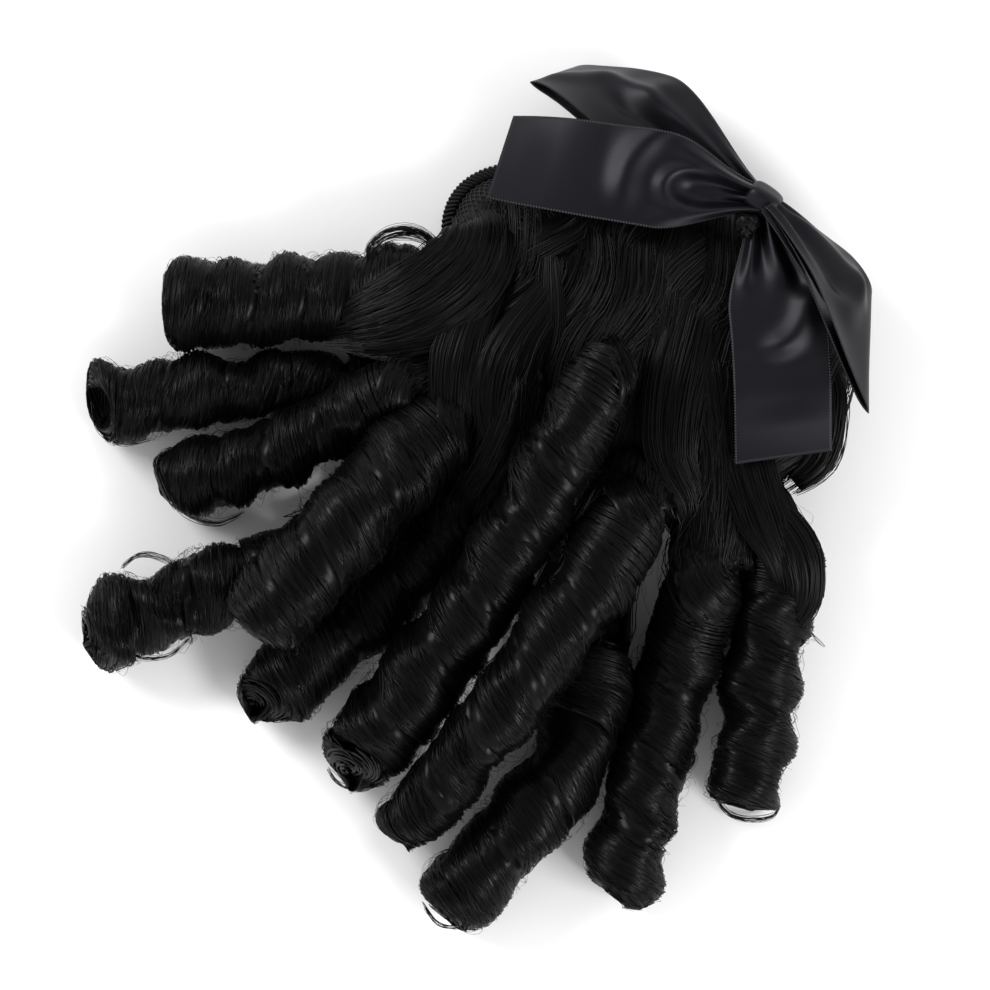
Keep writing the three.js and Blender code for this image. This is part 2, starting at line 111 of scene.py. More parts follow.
# Ends, in the order of the ringlets: the length of one turn, how round the rim is, where the coil
# starts as a share of the length and how long its rounded start is, how far the rim reaches past the
# axis and how much further on top and on the right-hand side, how far its strands curl in, how much
# the last turn narrows, how uneven the turns are, the strands that close the tip and how far they
# bulge out of it, the share of stray hairs, and how deep the seams are
ENDS = (
    {"pitch": 21, "round": 9, "from": 0.22, "start": 10, "reach": 1.5, "up": 0, "aside": 0, "curl": 8,
     "narrow": -0.5, "lump": 1.1, "swirl": 0, "bulge": 0, "stray": 1.0, "seam": 1.0},
    {"pitch": 24, "round": 4, "from": 0.42, "start": 14, "reach": -0.5, "up": -5, "aside": 2, "curl": 3,
     "narrow": 0, "lump": 1.3, "swirl": 44, "bulge": -6, "stray": 1.0, "seam": 1.1},
    {"pitch": 25, "round": 8, "from": 0.30, "start": 12, "reach": 1.0, "up": -2, "aside": 2, "curl": 8,
     "narrow": 0, "lump": 1.0, "swirl": 40, "bulge": 3, "stray": 1.0, "seam": 1.1},
    {"pitch": 31, "round": 9, "from": 0.24, "start": 20, "reach": 1.0, "up": -1, "aside": 1, "curl": 7,
     "narrow": 0, "lump": 1.1, "swirl": 50, "bulge": 3, "stray": 1.2, "seam": 1.25},
    {"pitch": 26, "round": 11, "from": 0.46, "start": 18, "reach": 2.5, "up": -3, "aside": -2, "curl": 5,
     "narrow": 0, "lump": 2.2, "swirl": 50, "bulge": 3, "stray": 2.2, "seam": 1.1},
    {"pitch": 28, "round": 8, "from": 0.42, "start": 22, "reach": 0.0, "up": -8, "aside": 2, "curl": 7,
     "narrow": 0, "lump": 1.0, "swirl": 70, "bulge": 3.5, "stray": 1.2, "seam": 1.1},
    {"pitch": 32, "round": 9, "from": 0.09, "start": 26, "reach": -2.5, "up": -11, "aside": 2, "curl": 7,
     "narrow": 1, "lump": 1.1, "swirl": 70, "bulge": 4, "stray": 1.3, "seam": 1.5},
    {"pitch": 32, "round": 8, "from": 0.21, "start": 20, "reach": 2.5, "up": -3, "aside": 2, "curl": 6,
     "narrow": 0, "lump": 1.2, "swirl": 40, "bulge": 3, "stray": 1.3, "seam": 1.5},
    {"pitch": 31, "round": 7, "from": 0.40, "start": 14, "reach": 3.0, "up": -2, "aside": 0, "curl": 7,
     "narrow": 0, "lump": 1.2, "swirl": 30, "bulge": 2.5, "stray": 1.2, "seam": 1.25},
    {"pitch": 33, "round": 7, "from": 0.42, "start": 18, "reach": -1.0, "up": -2, "aside": -4, "curl": 7,
     "narrow": -1.5, "lump": 1.1, "swirl": 30, "bulge": 2.5, "stray": 1.2, "seam": 1.25},
    {"pitch": 26, "round": 6, "from": 0.25, "start": 12, "reach": -2.0, "up": -1, "aside": 0, "curl": 7,
     "narrow": 0, "lump": 2.0, "swirl": 0, "bulge": 0, "stray": 1.4, "seam": 1.0},
)

# Loose wisps: places along the wisp, how many strands, and how far they spread
WISPS = (
    {"of": "ringlet_01", "strands": 64, "spread": 3.0, "places": (
        (-14, 94, 33), (-18.6, 104.6, 29), (-27.6, 109, 28), (-37.9, 107.4, 29), (-44.5, 100.3, 31),
        (-41.3, 92, 33))},
    {"of": "ringlet_11", "strands": 18, "spread": 1.3, "places": (
        (97.7, -122, 8), (103.5, -131, 5), (112.6, -134.5, 4), (122.9, -133, 5), (126, -127, 9))},
    {"of": "ringlet_11", "strands": 8, "spread": 0.8, "places": (
        (133, -48, 18), (138, -56, 14), (144.8, -63.5, 10))},
    {"of": "ringlet_10", "strands": 14, "spread": 0.9, "places": (
        (78, -97, 22), (87, -102.7, 20), (90.3, -108.9, 18), (85.4, -115.1, 16), (77, -117, 16))},
    {"of": "ringlet_04", "strands": 16, "spread": 1.1, "places": (
        (-84, -22, 52), (-94, -31, 46), (-97.5, -44, 42), (-91, -55, 40), (-80, -61, 42))},
    {"of": "ringlet_05", "strands": 14, "spread": 1.2, "places": (
        (-147, -30, 32), (-139, -24.3, 30), (-128.7, -26, 28), (-118, -34, 26))},
    {"of": "ringlet_05", "strands": 12, "spread": 1.2, "places": (
        (-150, -62, 12), (-140, -67.4, 8), (-128, -66.5, 8), (-117, -57, 12))},
    {"of": "ringlet_03", "strands": 16, "spread": 1.4, "places": (
        (-131, 1, 12), (-119, -8.5, 6), (-108, -11.5, 6), (-95, -6, 10))},
    {"of": "ringlet_07", "strands": 12, "spread": 1.1, "places": (
        (-62, -112, 18), (-57, -119, 12), (-47, -121.5, 10), (-38, -115, 14))},
    {"of": "ringlet_09", "strands": 12, "spread": 1.1, "places": (
        (-23.5, -168, 14), (-15, -178, 10), (-3, -177.5, 10), (6, -168, 14))},
    {"of": "ringlet_02", "strands": 12, "spread": 1.1, "places": (
        (-160, 40, 14), (-157, 28, 9), (-147, 21.9, 8), (-134, 24, 10))},
)

# The bow
KNOT = {"place": (117, 121, 42), "along": 7.5, "across": 7, "high": 9, "pleats": 5, "crease": 0.315,
        "slant": 0.5, "waist": 0.08, "barrel": 0.4, "sides": 80, "levels": 40, "tone": 0.5}
GATHER = {"place": (110, 110.5, 45), "radius": 4.8, "flat": 0.7, "lumps": 12, "spread": 0.32,
          "size": (0.42, 0.68), "low": 0.8, "waves": (3, 7), "phase": (0, 6), "pucker": 0.26, "slant": 4,
          "sides": 24, "levels": 14}
TAILS = (
    {"name": "bow_tail_left", "places": ((117, 121, 46), (66, 130.5, 51), (9.5, 138.6, 46)),
     "pinch": 6, "end_skew": -2.2, "tilt": -27},
    {"name": "bow_tail_right", "places": ((117, 121, 39), (123.5, 68, 50), (125.4, 15.7, 46)),
     "pinch": 7, "end_skew": 1.9, "tilt": 5},
)
LOOPS = (
    {"name": "bow_loop_left", "from": (117, 121, 36), "tip": (31, 173.5, 24), "roll": (14, 66), "rise": 6,
     "drop": 5, "pinch": 4, "skew": -3.5, "shut": 0, "bow": 4.5},
    {"name": "bow_loop_right", "from": (118, 120, 47), "tip": (160, 57.5, 45), "roll": (-70, -46),
     "rise": 5.5, "drop": 4.5, "pinch": 5, "skew": 19, "shut": 1, "bow": -3},
)
LOOP = {"open": 0.28, "layer_gap": 1.1, "gather": 0.60, "roll_from": 0.35, "shut": 0.16, "shut_rate": 1.3,
        "pleat": 0.5, "rows": 124}
TAIL = {"length": 108.0, "gather": 0.42, "lean": 0.6, "near": 0.5, "rows": 80}
PLEATS = 3
PLEAT_DEPTH = 2.4
RIBBON_COLUMNS = 37
RIBBON_TONE = 0.5
FOLD = {"rise_rate": 4, "fall_rate": 3, "ring_fade": 0.6}
SELVAGE = {"per_tooth": 4, "thick": 0.30, "bead": 0.16, "inset": 0.45, "wide": 1.5, "sides": 5}

# Folds in the ribbons: where the fold starts and ends along and across the ribbon, its half width and
# its height
FOLDS = (
    {"of": "bow_tail_left", "u": (0.02, 0.40), "v": (0.48, 0.46), "half": 0.15, "high": -5.5},
    {"of": "bow_tail_left", "u": (0.02, 0.46), "v": (0.80, 0.90), "half": 0.10, "high": 2.4},
    {"of": "bow_tail_left", "u": (0.04, 0.52), "v": (0.16, 0.08), "half": 0.12, "high": 1.6},
    {"of": "bow_tail_left", "u": (0.55, 0.95), "v": (0.70, 0.60), "half": 0.40, "high": -1.2},
    {"of": "bow_tail_right", "u": (0.03, 0.36), "v": (0.42, 0.34), "half": 0.10, "high": 3.4},
    {"of": "bow_tail_right", "u": (0.14, 0.42), "v": (0.22, 0.20), "half": 0.12, "high": -3.4},
    {"of": "bow_tail_right", "u": (0.03, 0.34), "v": (0.74, 0.84), "half": 0.10, "high": 2.0},
    {"of": "bow_tail_right", "u": (0.55, 0.88), "v": (0.60, 0.40), "half": 0.45, "high": -1.6},
    {"of": "bow_loop_left", "u": (0.66, 0.97), "v": (0.40, 0.50), "half": 0.10, "high": -3.2},
    {"of": "bow_loop_left", "u": (0.60, 0.98), "v": (0.66, 0.58), "half": 0.10, "high": 2.4},
    {"of": "bow_loop_left", "u": (0.52, 0.70), "v": (0.15, 0.85), "half": 0.16, "high": 1.8},
    {"of": "bow_loop_right", "u": (0.70, 0.97), "v": (0.60, 0.52), "half": 0.10, "high": -2.8},
    {"of": "bow_loop_right", "u": (0.62, 0.98), "v": (0.30, 0.40), "half": 0.11, "high": 2.6},
)
# Folds that curve round a hollow: the middle of the hollow, the crest's distance from it and half width,
# how much flatter it is across the ribbon, its height, the way that its middle faces, with 0 away from
# the knot, and how far it goes to each side
RINGS = (
    {"of": "bow_tail_left", "u": 0.25, "v": 0.46, "radius": 16, "half": 4.2, "flat": 1.7, "high": 2.8,
     "faces": 10, "spans": 120},
    {"of": "bow_tail_left", "u": 0.25, "v": 0.46, "radius": 32, "half": 5.6, "flat": 1.1, "high": 2.6,
     "faces": 22, "spans": 60},
    {"of": "bow_tail_left", "u": 0.0, "v": 0.5, "radius": 86, "half": 15, "flat": 0.8, "high": 1.5,
     "faces": 0, "spans": 70},
    {"of": "bow_tail_right", "u": 0.38, "v": 0.74, "radius": 22, "half": 5.4, "flat": 1.0, "high": 3.0,
     "faces": -55, "spans": 62},
    {"of": "bow_tail_right", "u": 0.0, "v": 0.5, "radius": 82, "half": 15, "flat": 0.8, "high": 2.8,
     "faces": -20, "spans": 70},
    {"of": "bow_loop_left", "u": 0.80, "v": 0.62, "radius": 14, "half": 4.6, "flat": 1.0, "high": 2.2,
     "faces": 180, "spans": 80},
    {"of": "bow_loop_right", "u": 0.78, "v": 0.45, "radius": 13, "half": 4.6, "flat": 1.0, "high": 2.2,
     "faces": 180, "spans": 80},
)

# Locks that lie loose over the crown: places along the middle, the width at each, and the strands
LOCKS = (
    {"strands": 240, "widths": (22, 32, 38, 38, 28, 12), "places": (
        (-1.5, 122.5, 22), (2.1, 110.8, 33), (-2.1, 96.5, 39), (-16.5, 82.8, 42), (-32.6, 74.6, 41),
        (-65, 66, 34))},
    {"strands": 120, "widths": (6, 24, 28, 24, 14, 3), "places": (
        (98, 104, 34), (88, 72, 42), (80.5, 38, 45), (80, 16, 44), (88, -4, 39), (86, -28, 30))},
    {"strands": 100, "widths": (8, 24, 22, 12, 3), "places": (
        (104, 36, 35), (110, 14, 41), (117, -8, 42), (125, -28, 38), (129, -52, 22))},
    {"strands": 100, "widths": (10, 20, 26, 20, 4), "places": (
        (20, 98, 29), (4.1, 84.5, 35), (-6, 60.7, 43), (-9, 37, 42), (-4.9, 8, 31))},
    {"strands": 100, "widths": (10, 18, 26, 20, 4), "places": (
        (45, 100, 35), (30.7, 82.5, 40), (14.7, 58, 45), (9.5, 35.6, 44), (16.7, 2.7, 31))},
    {"strands": 90, "widths": (12, 24, 24, 10), "places": (
        (137, 66, 27), (141.3, 40, 26), (138, 18, 22), (120, 0, 20))},
    {"strands": 90, "widths": (4, 16, 18, 14, 4), "places": (
        (108, 4, 34), (121, -7, 40), (132, -22, 40), (134.5, -42, 34), (124, -62, 22))},
    {"strands": 50, "widths": (24, 32, 24), "places": (
        (22, 30, 14), (-14, -2, 10), (-38, -40, 8))},
    {"strands": 50, "widths": (24, 30, 20), "places": (
        (64, 14, 12), (44, -26, 10), (22, -66, 8))},
    {"strands": 50, "widths": (22, 28, 16), "places": (
        (-14, 27, 12), (-44, 8, 8), (-62, -6, 6))},
    {"strands": 45, "widths": (20, 26, 16), "places": (
        (6, 64, 18), (-24, 40, 14), (-44, 26, 10))},
    {"strands": 60, "widths": (20, 24, 8), "places": (
        (78, 20, 20), (84, -2, 22), (88, -22, 14))},
    {"strands": 50, "widths": (22, 30, 26), "places": (
        (112, 24, 16), (114, -4, 14), (106, -34, 12))},
)

SEED = 71
ANY_PHASE = (0, 6.28)
RIDGE = 0.24

# The winding: steps and stations on one turn, how far apart stations are on the flat lock, the longest
# step, how early and over what length the turning starts, and the least share of its full rate
STEPS_PER_TURN = 10
STATIONS_PER_TURN = 36
FLAT_SPACING = 2.5
FINE_POINTS = 4000
WIND_STEP = 8.4
WIND_EARLY = 5.0
WIND_RAMP = 14.0
WIND_LEAST = 0.5

# Roots: how deep and over what length a lock dives under the others, and the share of its width there
ROOT_DIVE = 9.0
ROOT_LENGTH = 30.0
ROOT_SHARE = 0.3

# Starts: the share of the length below which a coil starts bare, how its first turn then tapers, and the
# share of the radius at the start of any coil
BARE_SHARE = 0.15
BARE_POINT = 0.3
BARE_TAPER = 0.5
START_SHARE = 0.1

# Turns: how uneven the seams are, how sharp, and how much shallower at the tip; the waves that make a
# turn uneven; and how full a flat lock is
SEAM = {"range": (0.45, 1.4), "spacing": 0.5, "power": 2.2, "tip": 0.3, "tip_from": 0.7, "tip_run": 0.5}
LUMPS = {"size": (0.3, 0.7), "length": (17, 60), "round": (0, 1, 1, 2, 2, 3)}
FLAT_BULGE = 0.10

# Rims: how softly the strands stop there, how far they dome out, how early the rim rounds, over what
# share of the lock they curl in, and the most that they turn in as a share of the radius
RIM = {"soft": 1.6, "dome": 0.8, "reach": 1.2, "curl": 0.6, "most": 0.8}

# What one ringlet is made of
# The backing's low tone (darker than most strands) is painted shade where it shows between the strands
BACKING = {"short": 14, "step": 2, "columns": 7, "under": 0.8, "tone": 0.2}
STRANDS_ACROSS = 20.0
STRAND = {"roll": 0.30, "blend": 3, "loose": 0.20, "crossing": 0.24, "swing": (0.06, 0.24), "calm": 0.024,
          "short": 12, "step": 3, "edge": 0.56, "clumps": 0.3, "clump": 0.34, "under": 0.35, "over": 0.35,
          "uneven": 0.12, "wide": (0.65, 1.3), "tip": (0.8, 0.6, 0.3)}
NOSE = {"strands": 56, "points": 15, "turn": (5.0, 6.6), "from": (-0.1, 0.8), "slant": 0.05, "under": 0.5,
        "uneven": (0.8, 1.6), "wide": 1.6}
# The core's low tone is painted shade: holes and slits at the start of a coil show it dark
NOSE_CORE = {"under": 2.0, "least": 0.2, "long": 0.9, "rings": 8, "sides": 24, "tone": 0.1}
SWIRL = {"points": 14, "turn": (1.6, 5.2), "outer": (0.55, 1.0), "inner": (0.02, 0.55), "round": 0.6,
         "depth": (0.4, 2.8), "facing": 0.65, "wide": 1.7}
INNER = {"one_in": 3, "stations": 60, "short": (1, 8), "step": 3, "under": 0.42, "uneven": (0, 0.4)}
STRAY = {"from": 0.5, "room": 14, "stations": (8, 28), "step": 2, "fewest": 4, "drift": 0.25, "back": 0.6,
         "leave": 1.5, "base": 0.40, "shape": 1.6, "scale": 0.55, "wide": 0.5, "taper": 0.6}
WISP = {"curve": 300, "points": 16, "ends": (0, 0.12), "swell": (0.45, 0.55), "aside": 0.6, "curl": 0.3,
        "curls": 9, "phase": (0, 6), "lift": 0.5, "wide": (0.4, 0.75), "taper": 0.5}

# Slow waves along a strand: the size, and the shortest and longest wavelength
WAVES = {
    "slide": {"size": 0.5, "lengths": (200, 380)},
    "shuffle": {"size": 0.3, "lengths": (90, 150)},
    "swing": {"size": 1.0, "lengths": (70, 170)},
    "shake": {"size": 0.010, "lengths": (22, 50)},
    "ripple": {"size": 0.10, "lengths": (14, 30)},
    "rise": {"size": 0.14, "lengths": (40, 80)},
    "roll": {"size": 0.20, "lengths": (30, 90)},
}

# What the crown is made of: loose locks over it, rows of leaf-shaped locks on it, and a curtain of strands
# round its back and its ends
LOCK = {"curve": 400, "bulge": 0.11, "root_dive": 7.0, "tip_dive": 5.0, "dive_rate": 5, "floor": 0.5,
        "points": 18, "start": (0, 0.1), "end": (0.66, 1.0), "uneven": 0.012, "swing": (0.01, 0.05),
        "swings": (5, 9), "high": 0.2, "roll": 0.34, "roll_blend": 3, "clump": 0.35, "clump_blend": 5,
        "tilt": 0.7, "wide": (0.65, 1.25), "taper": 0.7, "taper_rate": 4}
# The lock backing's low tone is painted shade where it shows between the strands
LOCK_BACKING = {"from": 0.03, "to": 0.84, "rings": 20, "edge": 0.46, "columns": 6, "top": -0.7, "low": -2.4,
                "tone": 0.2}
WEFT = {"rows": 3, "locks": 15, "edge": 0.95, "place": (0.1, 0.9), "wide": 19.0, "strands": 36, "points": 12,
        "drift": 0.26, "drift_noise": 0.12, "drift_from": 0.3, "first": -0.04, "last": 0.55, "noise": 0.05,
        "long": (0.42, 0.55), "share": (0.75, 1.3), "lift": (0.4, 3.8), "wave": (0.03, 0.09), "waves": 5,
        "uneven": 0.012, "roll": 0.25, "blend": 3, "start": (0, 0.1), "end": (0.75, 1.0), "leaf_from": 0.06,
        "leaf_long": 0.88, "leaf_power": 0.7, "shake": 0.02, "shakes": 6, "rim": 0.97, "reach": 0.96,
        "full": 1.8, "tuck": 1.0, "high": 0.2, "floor": 0.6, "tilt": 0.7, "thick": (0.7, 1.25)}
CURTAIN = {"strands": 560, "from": -1.0, "to": 3.7, "points": 10, "wide": 1.6, "proud": 0.6,
           "top": (0.7, 1.15), "low": (0.03, 0.09), "wave": 0.10, "waves": 2.6, "wave_shift": 3,
           "shake": 0.012, "shakes": 7, "ridge": 0.6, "ridges": 14, "ridge_slant": 2, "high": 0.15,
           "floor": 0.6, "roll": 0.4, "rolls": 40, "loose": 0.2, "thick": (0.7, 1.2)}
SMALL_TURN = 0.01
SMALL_SHARE = 0.004

# Finishes: the scale of the tone's clumps, roughness, relief and its depth, gloss, sheen, and the scale
# of the knit and its unevenness where the relief is knitted
LOOKS = {
    "black_fibre": {"clump": 110.0, "rough": (0.24, 0.42), "bump": 0.15, "depth": 0.0004, "gloss": 0.080,
                    "sheen": 0.0, "knit": None},
    "matt_knit": {"clump": 500.0, "rough": (0.75, 0.92), "bump": 0.35, "depth": 0.0003, "gloss": 0.25,
                  "sheen": 0.03, "knit": (900.0, 120.0)},
    "crumpled_elastic": {"clump": 900.0, "rough": (0.28, 0.5), "bump": 0.5, "depth": 0.0006, "gloss": 0.09,
                         "sheen": 0.0, "knit": None},
    "woven_edge": {"clump": 700.0, "rough": (0.45, 0.6), "bump": 0.3, "depth": 0.0002, "gloss": 0.5,
                   "sheen": 0.0, "knit": None},
}
KNIT_DARK = 0.05
ELASTIC_DARK = 0.06
ELASTIC_LIGHT = 0.3
SELVAGE_DARK = 0.4
SATIN = {"weave": 2600.0, "uneven": 45.0, "dark": 0.82, "rough": (0.38, 0.46), "bump": 0.12, "depth": 0.0001,
         "gloss": 0.22, "tint": (0.94, 0.92, 1.0, 1.0)}
STRAND_TONE = 0.6
CLUMP_TONE = 0.6

# Floor, lights and camera. The room's brightness goes by the height of the direction: dim straight above,
# bright all round
FLOOR_HALF = 4.0
FLOOR_ROUGH = 0.9
LIGHTS = (
    {"name": "light_left", "turn": 145, "tilt": 54, "size": (1.0, 0.7), "power": 33},
    {"name": "light_right", "turn": 325, "tilt": 54, "size": (1.0, 0.7), "power": 33},
)
LIGHT_DISTANCE = 2.2
ROOM = (
    {"height": 0.0, "bright": 0.9},
    {"height": 0.30, "bright": 1.0},
    {"height": 0.64, "bright": 1.0},
    {"height": 0.84, "bright": 0.45},
    {"height": 0.94, "bright": 0.22},
    {"height": 1.0, "bright": 0.14},
)
ROOM_STRENGTH = 1.15
VIEW_CENTRE = (0.00832, 0.00361)
VIEW_HEIGHT = 0.025
SENSOR_WIDTH = 36.0
VIEW_END = 100.0


# Settings that a user would change

class HairSettings(bpy.types.PropertyGroup):
    """Sizes and colours of the hair"""
    strands: bpy.props.IntProperty(
        name="Strands", description="Strands across 20 mm of a wound lock", default=68, min=12, max=160)
    strand_width: bpy.props.FloatProperty(
        name="Strand width", description="Width of one strand", default=0.00044, unit="LENGTH", precision=5)
    coil_fill: bpy.props.FloatProperty(
        name="Coil fill", description="Width of the wound lock as a share of the pitch", default=1.09)
    groove: bpy.props.FloatProperty(
        name="Groove", description="Depth of the seam between two turns", default=0.0056, unit="LENGTH",
        precision=4)
    flyaways: bpy.props.IntProperty(
        name="Flyaways", description="Stray hairs on each ringlet", default=150, min=0, max=300)
    dark: bpy.props.FloatVectorProperty(
        name="Dark fibre", description="Colour of the darkest fibres", subtype="COLOR", size=4,
        default=(0.0019, 0.0017, 0.0017, 1.0))
    light: bpy.props.FloatVectorProperty(
        name="Light fibre", description="Colour of the lightest fibres", subtype="COLOR", size=4,
        default=(0.0037, 0.0032, 0.0033, 1.0))


class CapSettings(bpy.types.PropertyGroup):
    """Sizes and colours of the cap and its knitted band"""
    stitches: bpy.props.IntProperty(
        name="Stitches", description="Stitches round the band", default=150, min=20, max=300)
    rows: bpy.props.IntProperty(
        name="Rows", description="Rows of stitches up the band", default=3, min=1, max=8)
    yarn: bpy.props.FloatProperty(
        name="Yarn", description="Thickness of the yarn", default=0.0009, unit="LENGTH", precision=4)
    colour: bpy.props.FloatVectorProperty(
        name="Knit colour", description="Colour of the net and the band", subtype="COLOR", size=4,
        default=(0.016, 0.016, 0.017, 1.0))


class BowSettings(bpy.types.PropertyGroup):
    """Sizes and colours of the ribbon bow"""
    thickness: bpy.props.FloatProperty(
        name="Ribbon thickness", description="Thickness of the satin", default=0.0005, unit="LENGTH",
        precision=4)
    tooth: bpy.props.FloatProperty(
        name="Selvage tooth", description="Length of one tooth of the woven edge", default=0.0012,
        unit="LENGTH", precision=4)
    satin: bpy.props.FloatVectorProperty(
        name="Satin colour", description="Colour of the satin", subtype="COLOR", size=4,
        default=(0.0028, 0.0028, 0.0044, 1.0))
    edge: bpy.props.FloatVectorProperty(
        name="Selvage colour", description="Colour of the woven edge", subtype="COLOR", size=4,
        default=(0.017, 0.017, 0.020, 1.0))


class StageSettings(bpy.types.PropertyGroup):
    """Floor, lights and camera"""
    floor: bpy.props.FloatVectorProperty(
        name="Floor colour", description="Colour of the floor", subtype="COLOR", size=4,
        default=(0.93, 0.93, 0.93, 1.0))
    distance: bpy.props.FloatProperty(
        name="Camera distance", description="Height of the camera over the hair", default=2.4,
        unit="LENGTH")
    width: bpy.props.FloatProperty(
        name="View width", description="Width of what the camera sees", default=0.4083, unit="LENGTH")
    light: bpy.props.FloatProperty(
        name="Light", description="Strength of the soft lights", default=1.0, min=0.0)


# Small helpers

def smooth(t):
    """A share from 0 to 1 that starts and ends gently."""
    x = np.clip(t, 0.0, 1.0)
    return x * x * (3 - 2 * x)


def mix(a, b, t):
    """The value that lies a share of the way from a to b."""
    return a + (b - a) * t


def unit(vectors):
    """The vectors with a length of 1."""
    return vectors / np.maximum(np.linalg.norm(vectors, axis=-1, keepdims=True), 1e-12)


def curve_at(places, share):
    """Centripetal curve through the places, at shares of its parameter from 0 to 1."""
    pts = np.array(places, float)
    pts = np.vstack([2 * pts[0] - pts[1], pts, 2 * pts[-1] - pts[-2]])
    spans = len(pts) - 3
    where = np.clip(np.asarray(share, float), 0, 1) * spans
    first = np.minimum(where.astype(int), spans - 1)
    t = (where - first)[:, None]
    a, b, c, d = (pts[first + k] for k in range(4))
    gap0, gap1, gap2 = (np.linalg.norm(q - p, axis=1, keepdims=True) ** 0.5
                        for p, q in ((a, b), (b, c), (c, d)))
    out = ((b - a) / gap0 - (c - a) / (gap0 + gap1) + (c - b) / gap1) * gap1
    into = ((c - b) / gap1 - (d - b) / (gap1 + gap2) + (d - c) / gap2) * gap1
    return b + out * t + (-3 * b + 3 * c - 2 * out - into) * t ** 2 + (2 * b - 2 * c + out + into) * t ** 3


def even_curve(places, count=900):
    """Points of the curve and how far along it they lie."""
    points = curve_at(places, np.linspace(0, 1, count))
    return points, steps_along(points)


def along_curve(points, measure, along):
    """Places and directions at distances along a measured curve."""
    tangents = np.gradient(points, measure, axis=0)
    place = np.stack([np.interp(along, measure, points[:, k]) for k in range(3)], axis=1)
    tangent = np.stack([np.interp(along, measure, tangents[:, k]) for k in range(3)], axis=1)
    return place, unit(tangent)


def steps_along(points):
    """How far along a line of points each of them lies."""
    steps = np.linalg.norm(np.diff(points, axis=0), axis=1)
    return np.concatenate([[0.0], np.cumsum(steps)])


def keep_above(points, floor):
    """Moves points that lie lower up to the floor."""
    points[..., 2] = np.maximum(points[..., 2], floor)


def round_axis(side, lift, turn):
    """Directions out of an axis, turned from the top towards its left."""
    return lift * np.cos(turn)[:, None] - side * np.sin(turn)[:, None]


def rolled(out, side, roll):
    """Both directions of a strand, rolled about its length."""
    roll = np.asarray(roll)[..., None]
    return out * np.cos(roll) + side * np.sin(roll), side * np.cos(roll) - out * np.sin(roll)


def soft_noise(rng, count, reach):
    """Random values that change smoothly from one strand to the next."""
    kernel = np.hanning(reach + 2)[1:-1]
    kernel = kernel / np.linalg.norm(kernel)
    rough = np.convolve(rng.normal(0, 1, count + 2 * reach), kernel, mode="same")
    return rough[reach:reach + count]


def sway(rng, travelled, name):
    """A slow random wave along a strand."""
    wave = WAVES[name]
    length = rng.uniform(*wave["lengths"])
    return wave["size"] * np.sin(2 * math.pi * travelled / length + rng.uniform(*ANY_PHASE))


# Meshes from arrays

class MeshParts:
    """Collects points, quads and one random value for each strand, then makes one object of them."""

    def __init__(self):
        self.points = []
        self.quads = []
        self.values = []
        self.count = 0

    def add(self, points, quads, value):
        """Adds points and the quads between them, with one value or one for each point."""
        self.points.append(points)
        self.quads.append(quads + self.count)
        self.values.append(np.broadcast_to(np.asarray(value, float), (len(points),)))
        self.count += len(points)

    def grid(self, points, value, wrap=False, ends=False):
        """A sheet of points in rows; wrap joins the last column to the first and ends closes both ends."""
        rows, columns = points.shape[:2]
        index = np.arange(rows * columns).reshape(rows, columns)
        first, last = index[0], index[-1]
        if wrap:
            index = np.concatenate([index, index[:, :1]], axis=1)
        quads = np.stack([index[:-1, :-1], index[:-1, 1:], index[1:, 1:], index[1:, :-1]], axis=-1)
        quads = quads.reshape(-1, 4)
        if ends:
            half = columns // 2
            for ring, flip in ((first, True), (last, False)):
                near, far = ring[:half], ring[half:][::-1]
                cap = np.stack([near[:-1], near[1:], far[1:], far[:-1]], axis=-1)
                quads = np.concatenate([quads, cap[:, ::-1] if flip else cap])
        self.add(points.reshape(-1, 3), quads, value)

    def strand(self, path, out, side, width, value):
        """A half-round strand that lies on a backing."""
        half = side * (width / 2)[:, None]
        rows = np.stack([path - half, path + out * (RIDGE * width)[:, None], path + half], axis=1)
        self.grid(rows, value)

    def hair(self, path, width, value):
        """A thin closed hair that stands free."""
        tangent = unit(np.gradient(path, axis=0))
        side = unit(np.cross(tangent, UP) + 1e-6)
        lift = np.cross(side, tangent)
        turns = np.radians([90, 210, 330])
        rows = path[:, None] + (width / 2)[:, None, None] * (
            side[:, None] * np.cos(turns)[None, :, None] + lift[:, None] * np.sin(turns)[None, :, None])
        self.grid(rows, value, wrap=True)

    def make(self, name, material):
        """One object of all that was added, in metres."""
        points = (np.concatenate(self.points) - MIDDLE) / 1000
        quads = np.concatenate(self.quads).astype(np.int32)
        mesh = bpy.data.meshes.new(name)
        mesh.vertices.add(len(points))
        mesh.vertices.foreach_set("co", points.astype(np.float32).ravel())
        mesh.loops.add(quads.size)
        mesh.loops.foreach_set("vertex_index", quads.ravel())
        mesh.polygons.add(len(quads))
        mesh.polygons.foreach_set("loop_start", np.arange(0, quads.size, 4, dtype=np.int32))
        mesh.polygons.foreach_set("loop_total", np.full(len(quads), 4, np.int32))
        mesh.polygons.foreach_set("use_smooth", np.ones(len(quads), bool))
        mesh.update(calc_edges=True)
        mesh.validate()
        tone = mesh.attributes.new("strand", "FLOAT", "POINT")
        tone.data.foreach_set("value", np.concatenate(self.values).astype(np.float32))
        mesh.materials.append(material)
        piece = bpy.data.objects.new(name, mesh)
        bpy.context.scene.collection.objects.link(piece)
        return piece


def settle(piece, slot, *nodes):
    """The piece rides on the frame and stands for the nodes."""
    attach(piece, "root")
    if nodes:
        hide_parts(*nodes)
    return piece


# Materials

def node_group(name, inputs, outputs):
    """An empty shader group with named sockets, and its input and output nodes."""
    group = bpy.data.node_groups.new(name, "ShaderNodeTree")
    for label, kind, default in inputs:
        socket = group.interface.new_socket(label, in_out="INPUT", socket_type=kind)
        socket.default_value = default
    for label, kind in outputs:
        group.interface.new_socket(label, in_out="OUTPUT", socket_type=kind)
    return group, group.nodes.new("NodeGroupInput"), group.nodes.new("NodeGroupOutput")


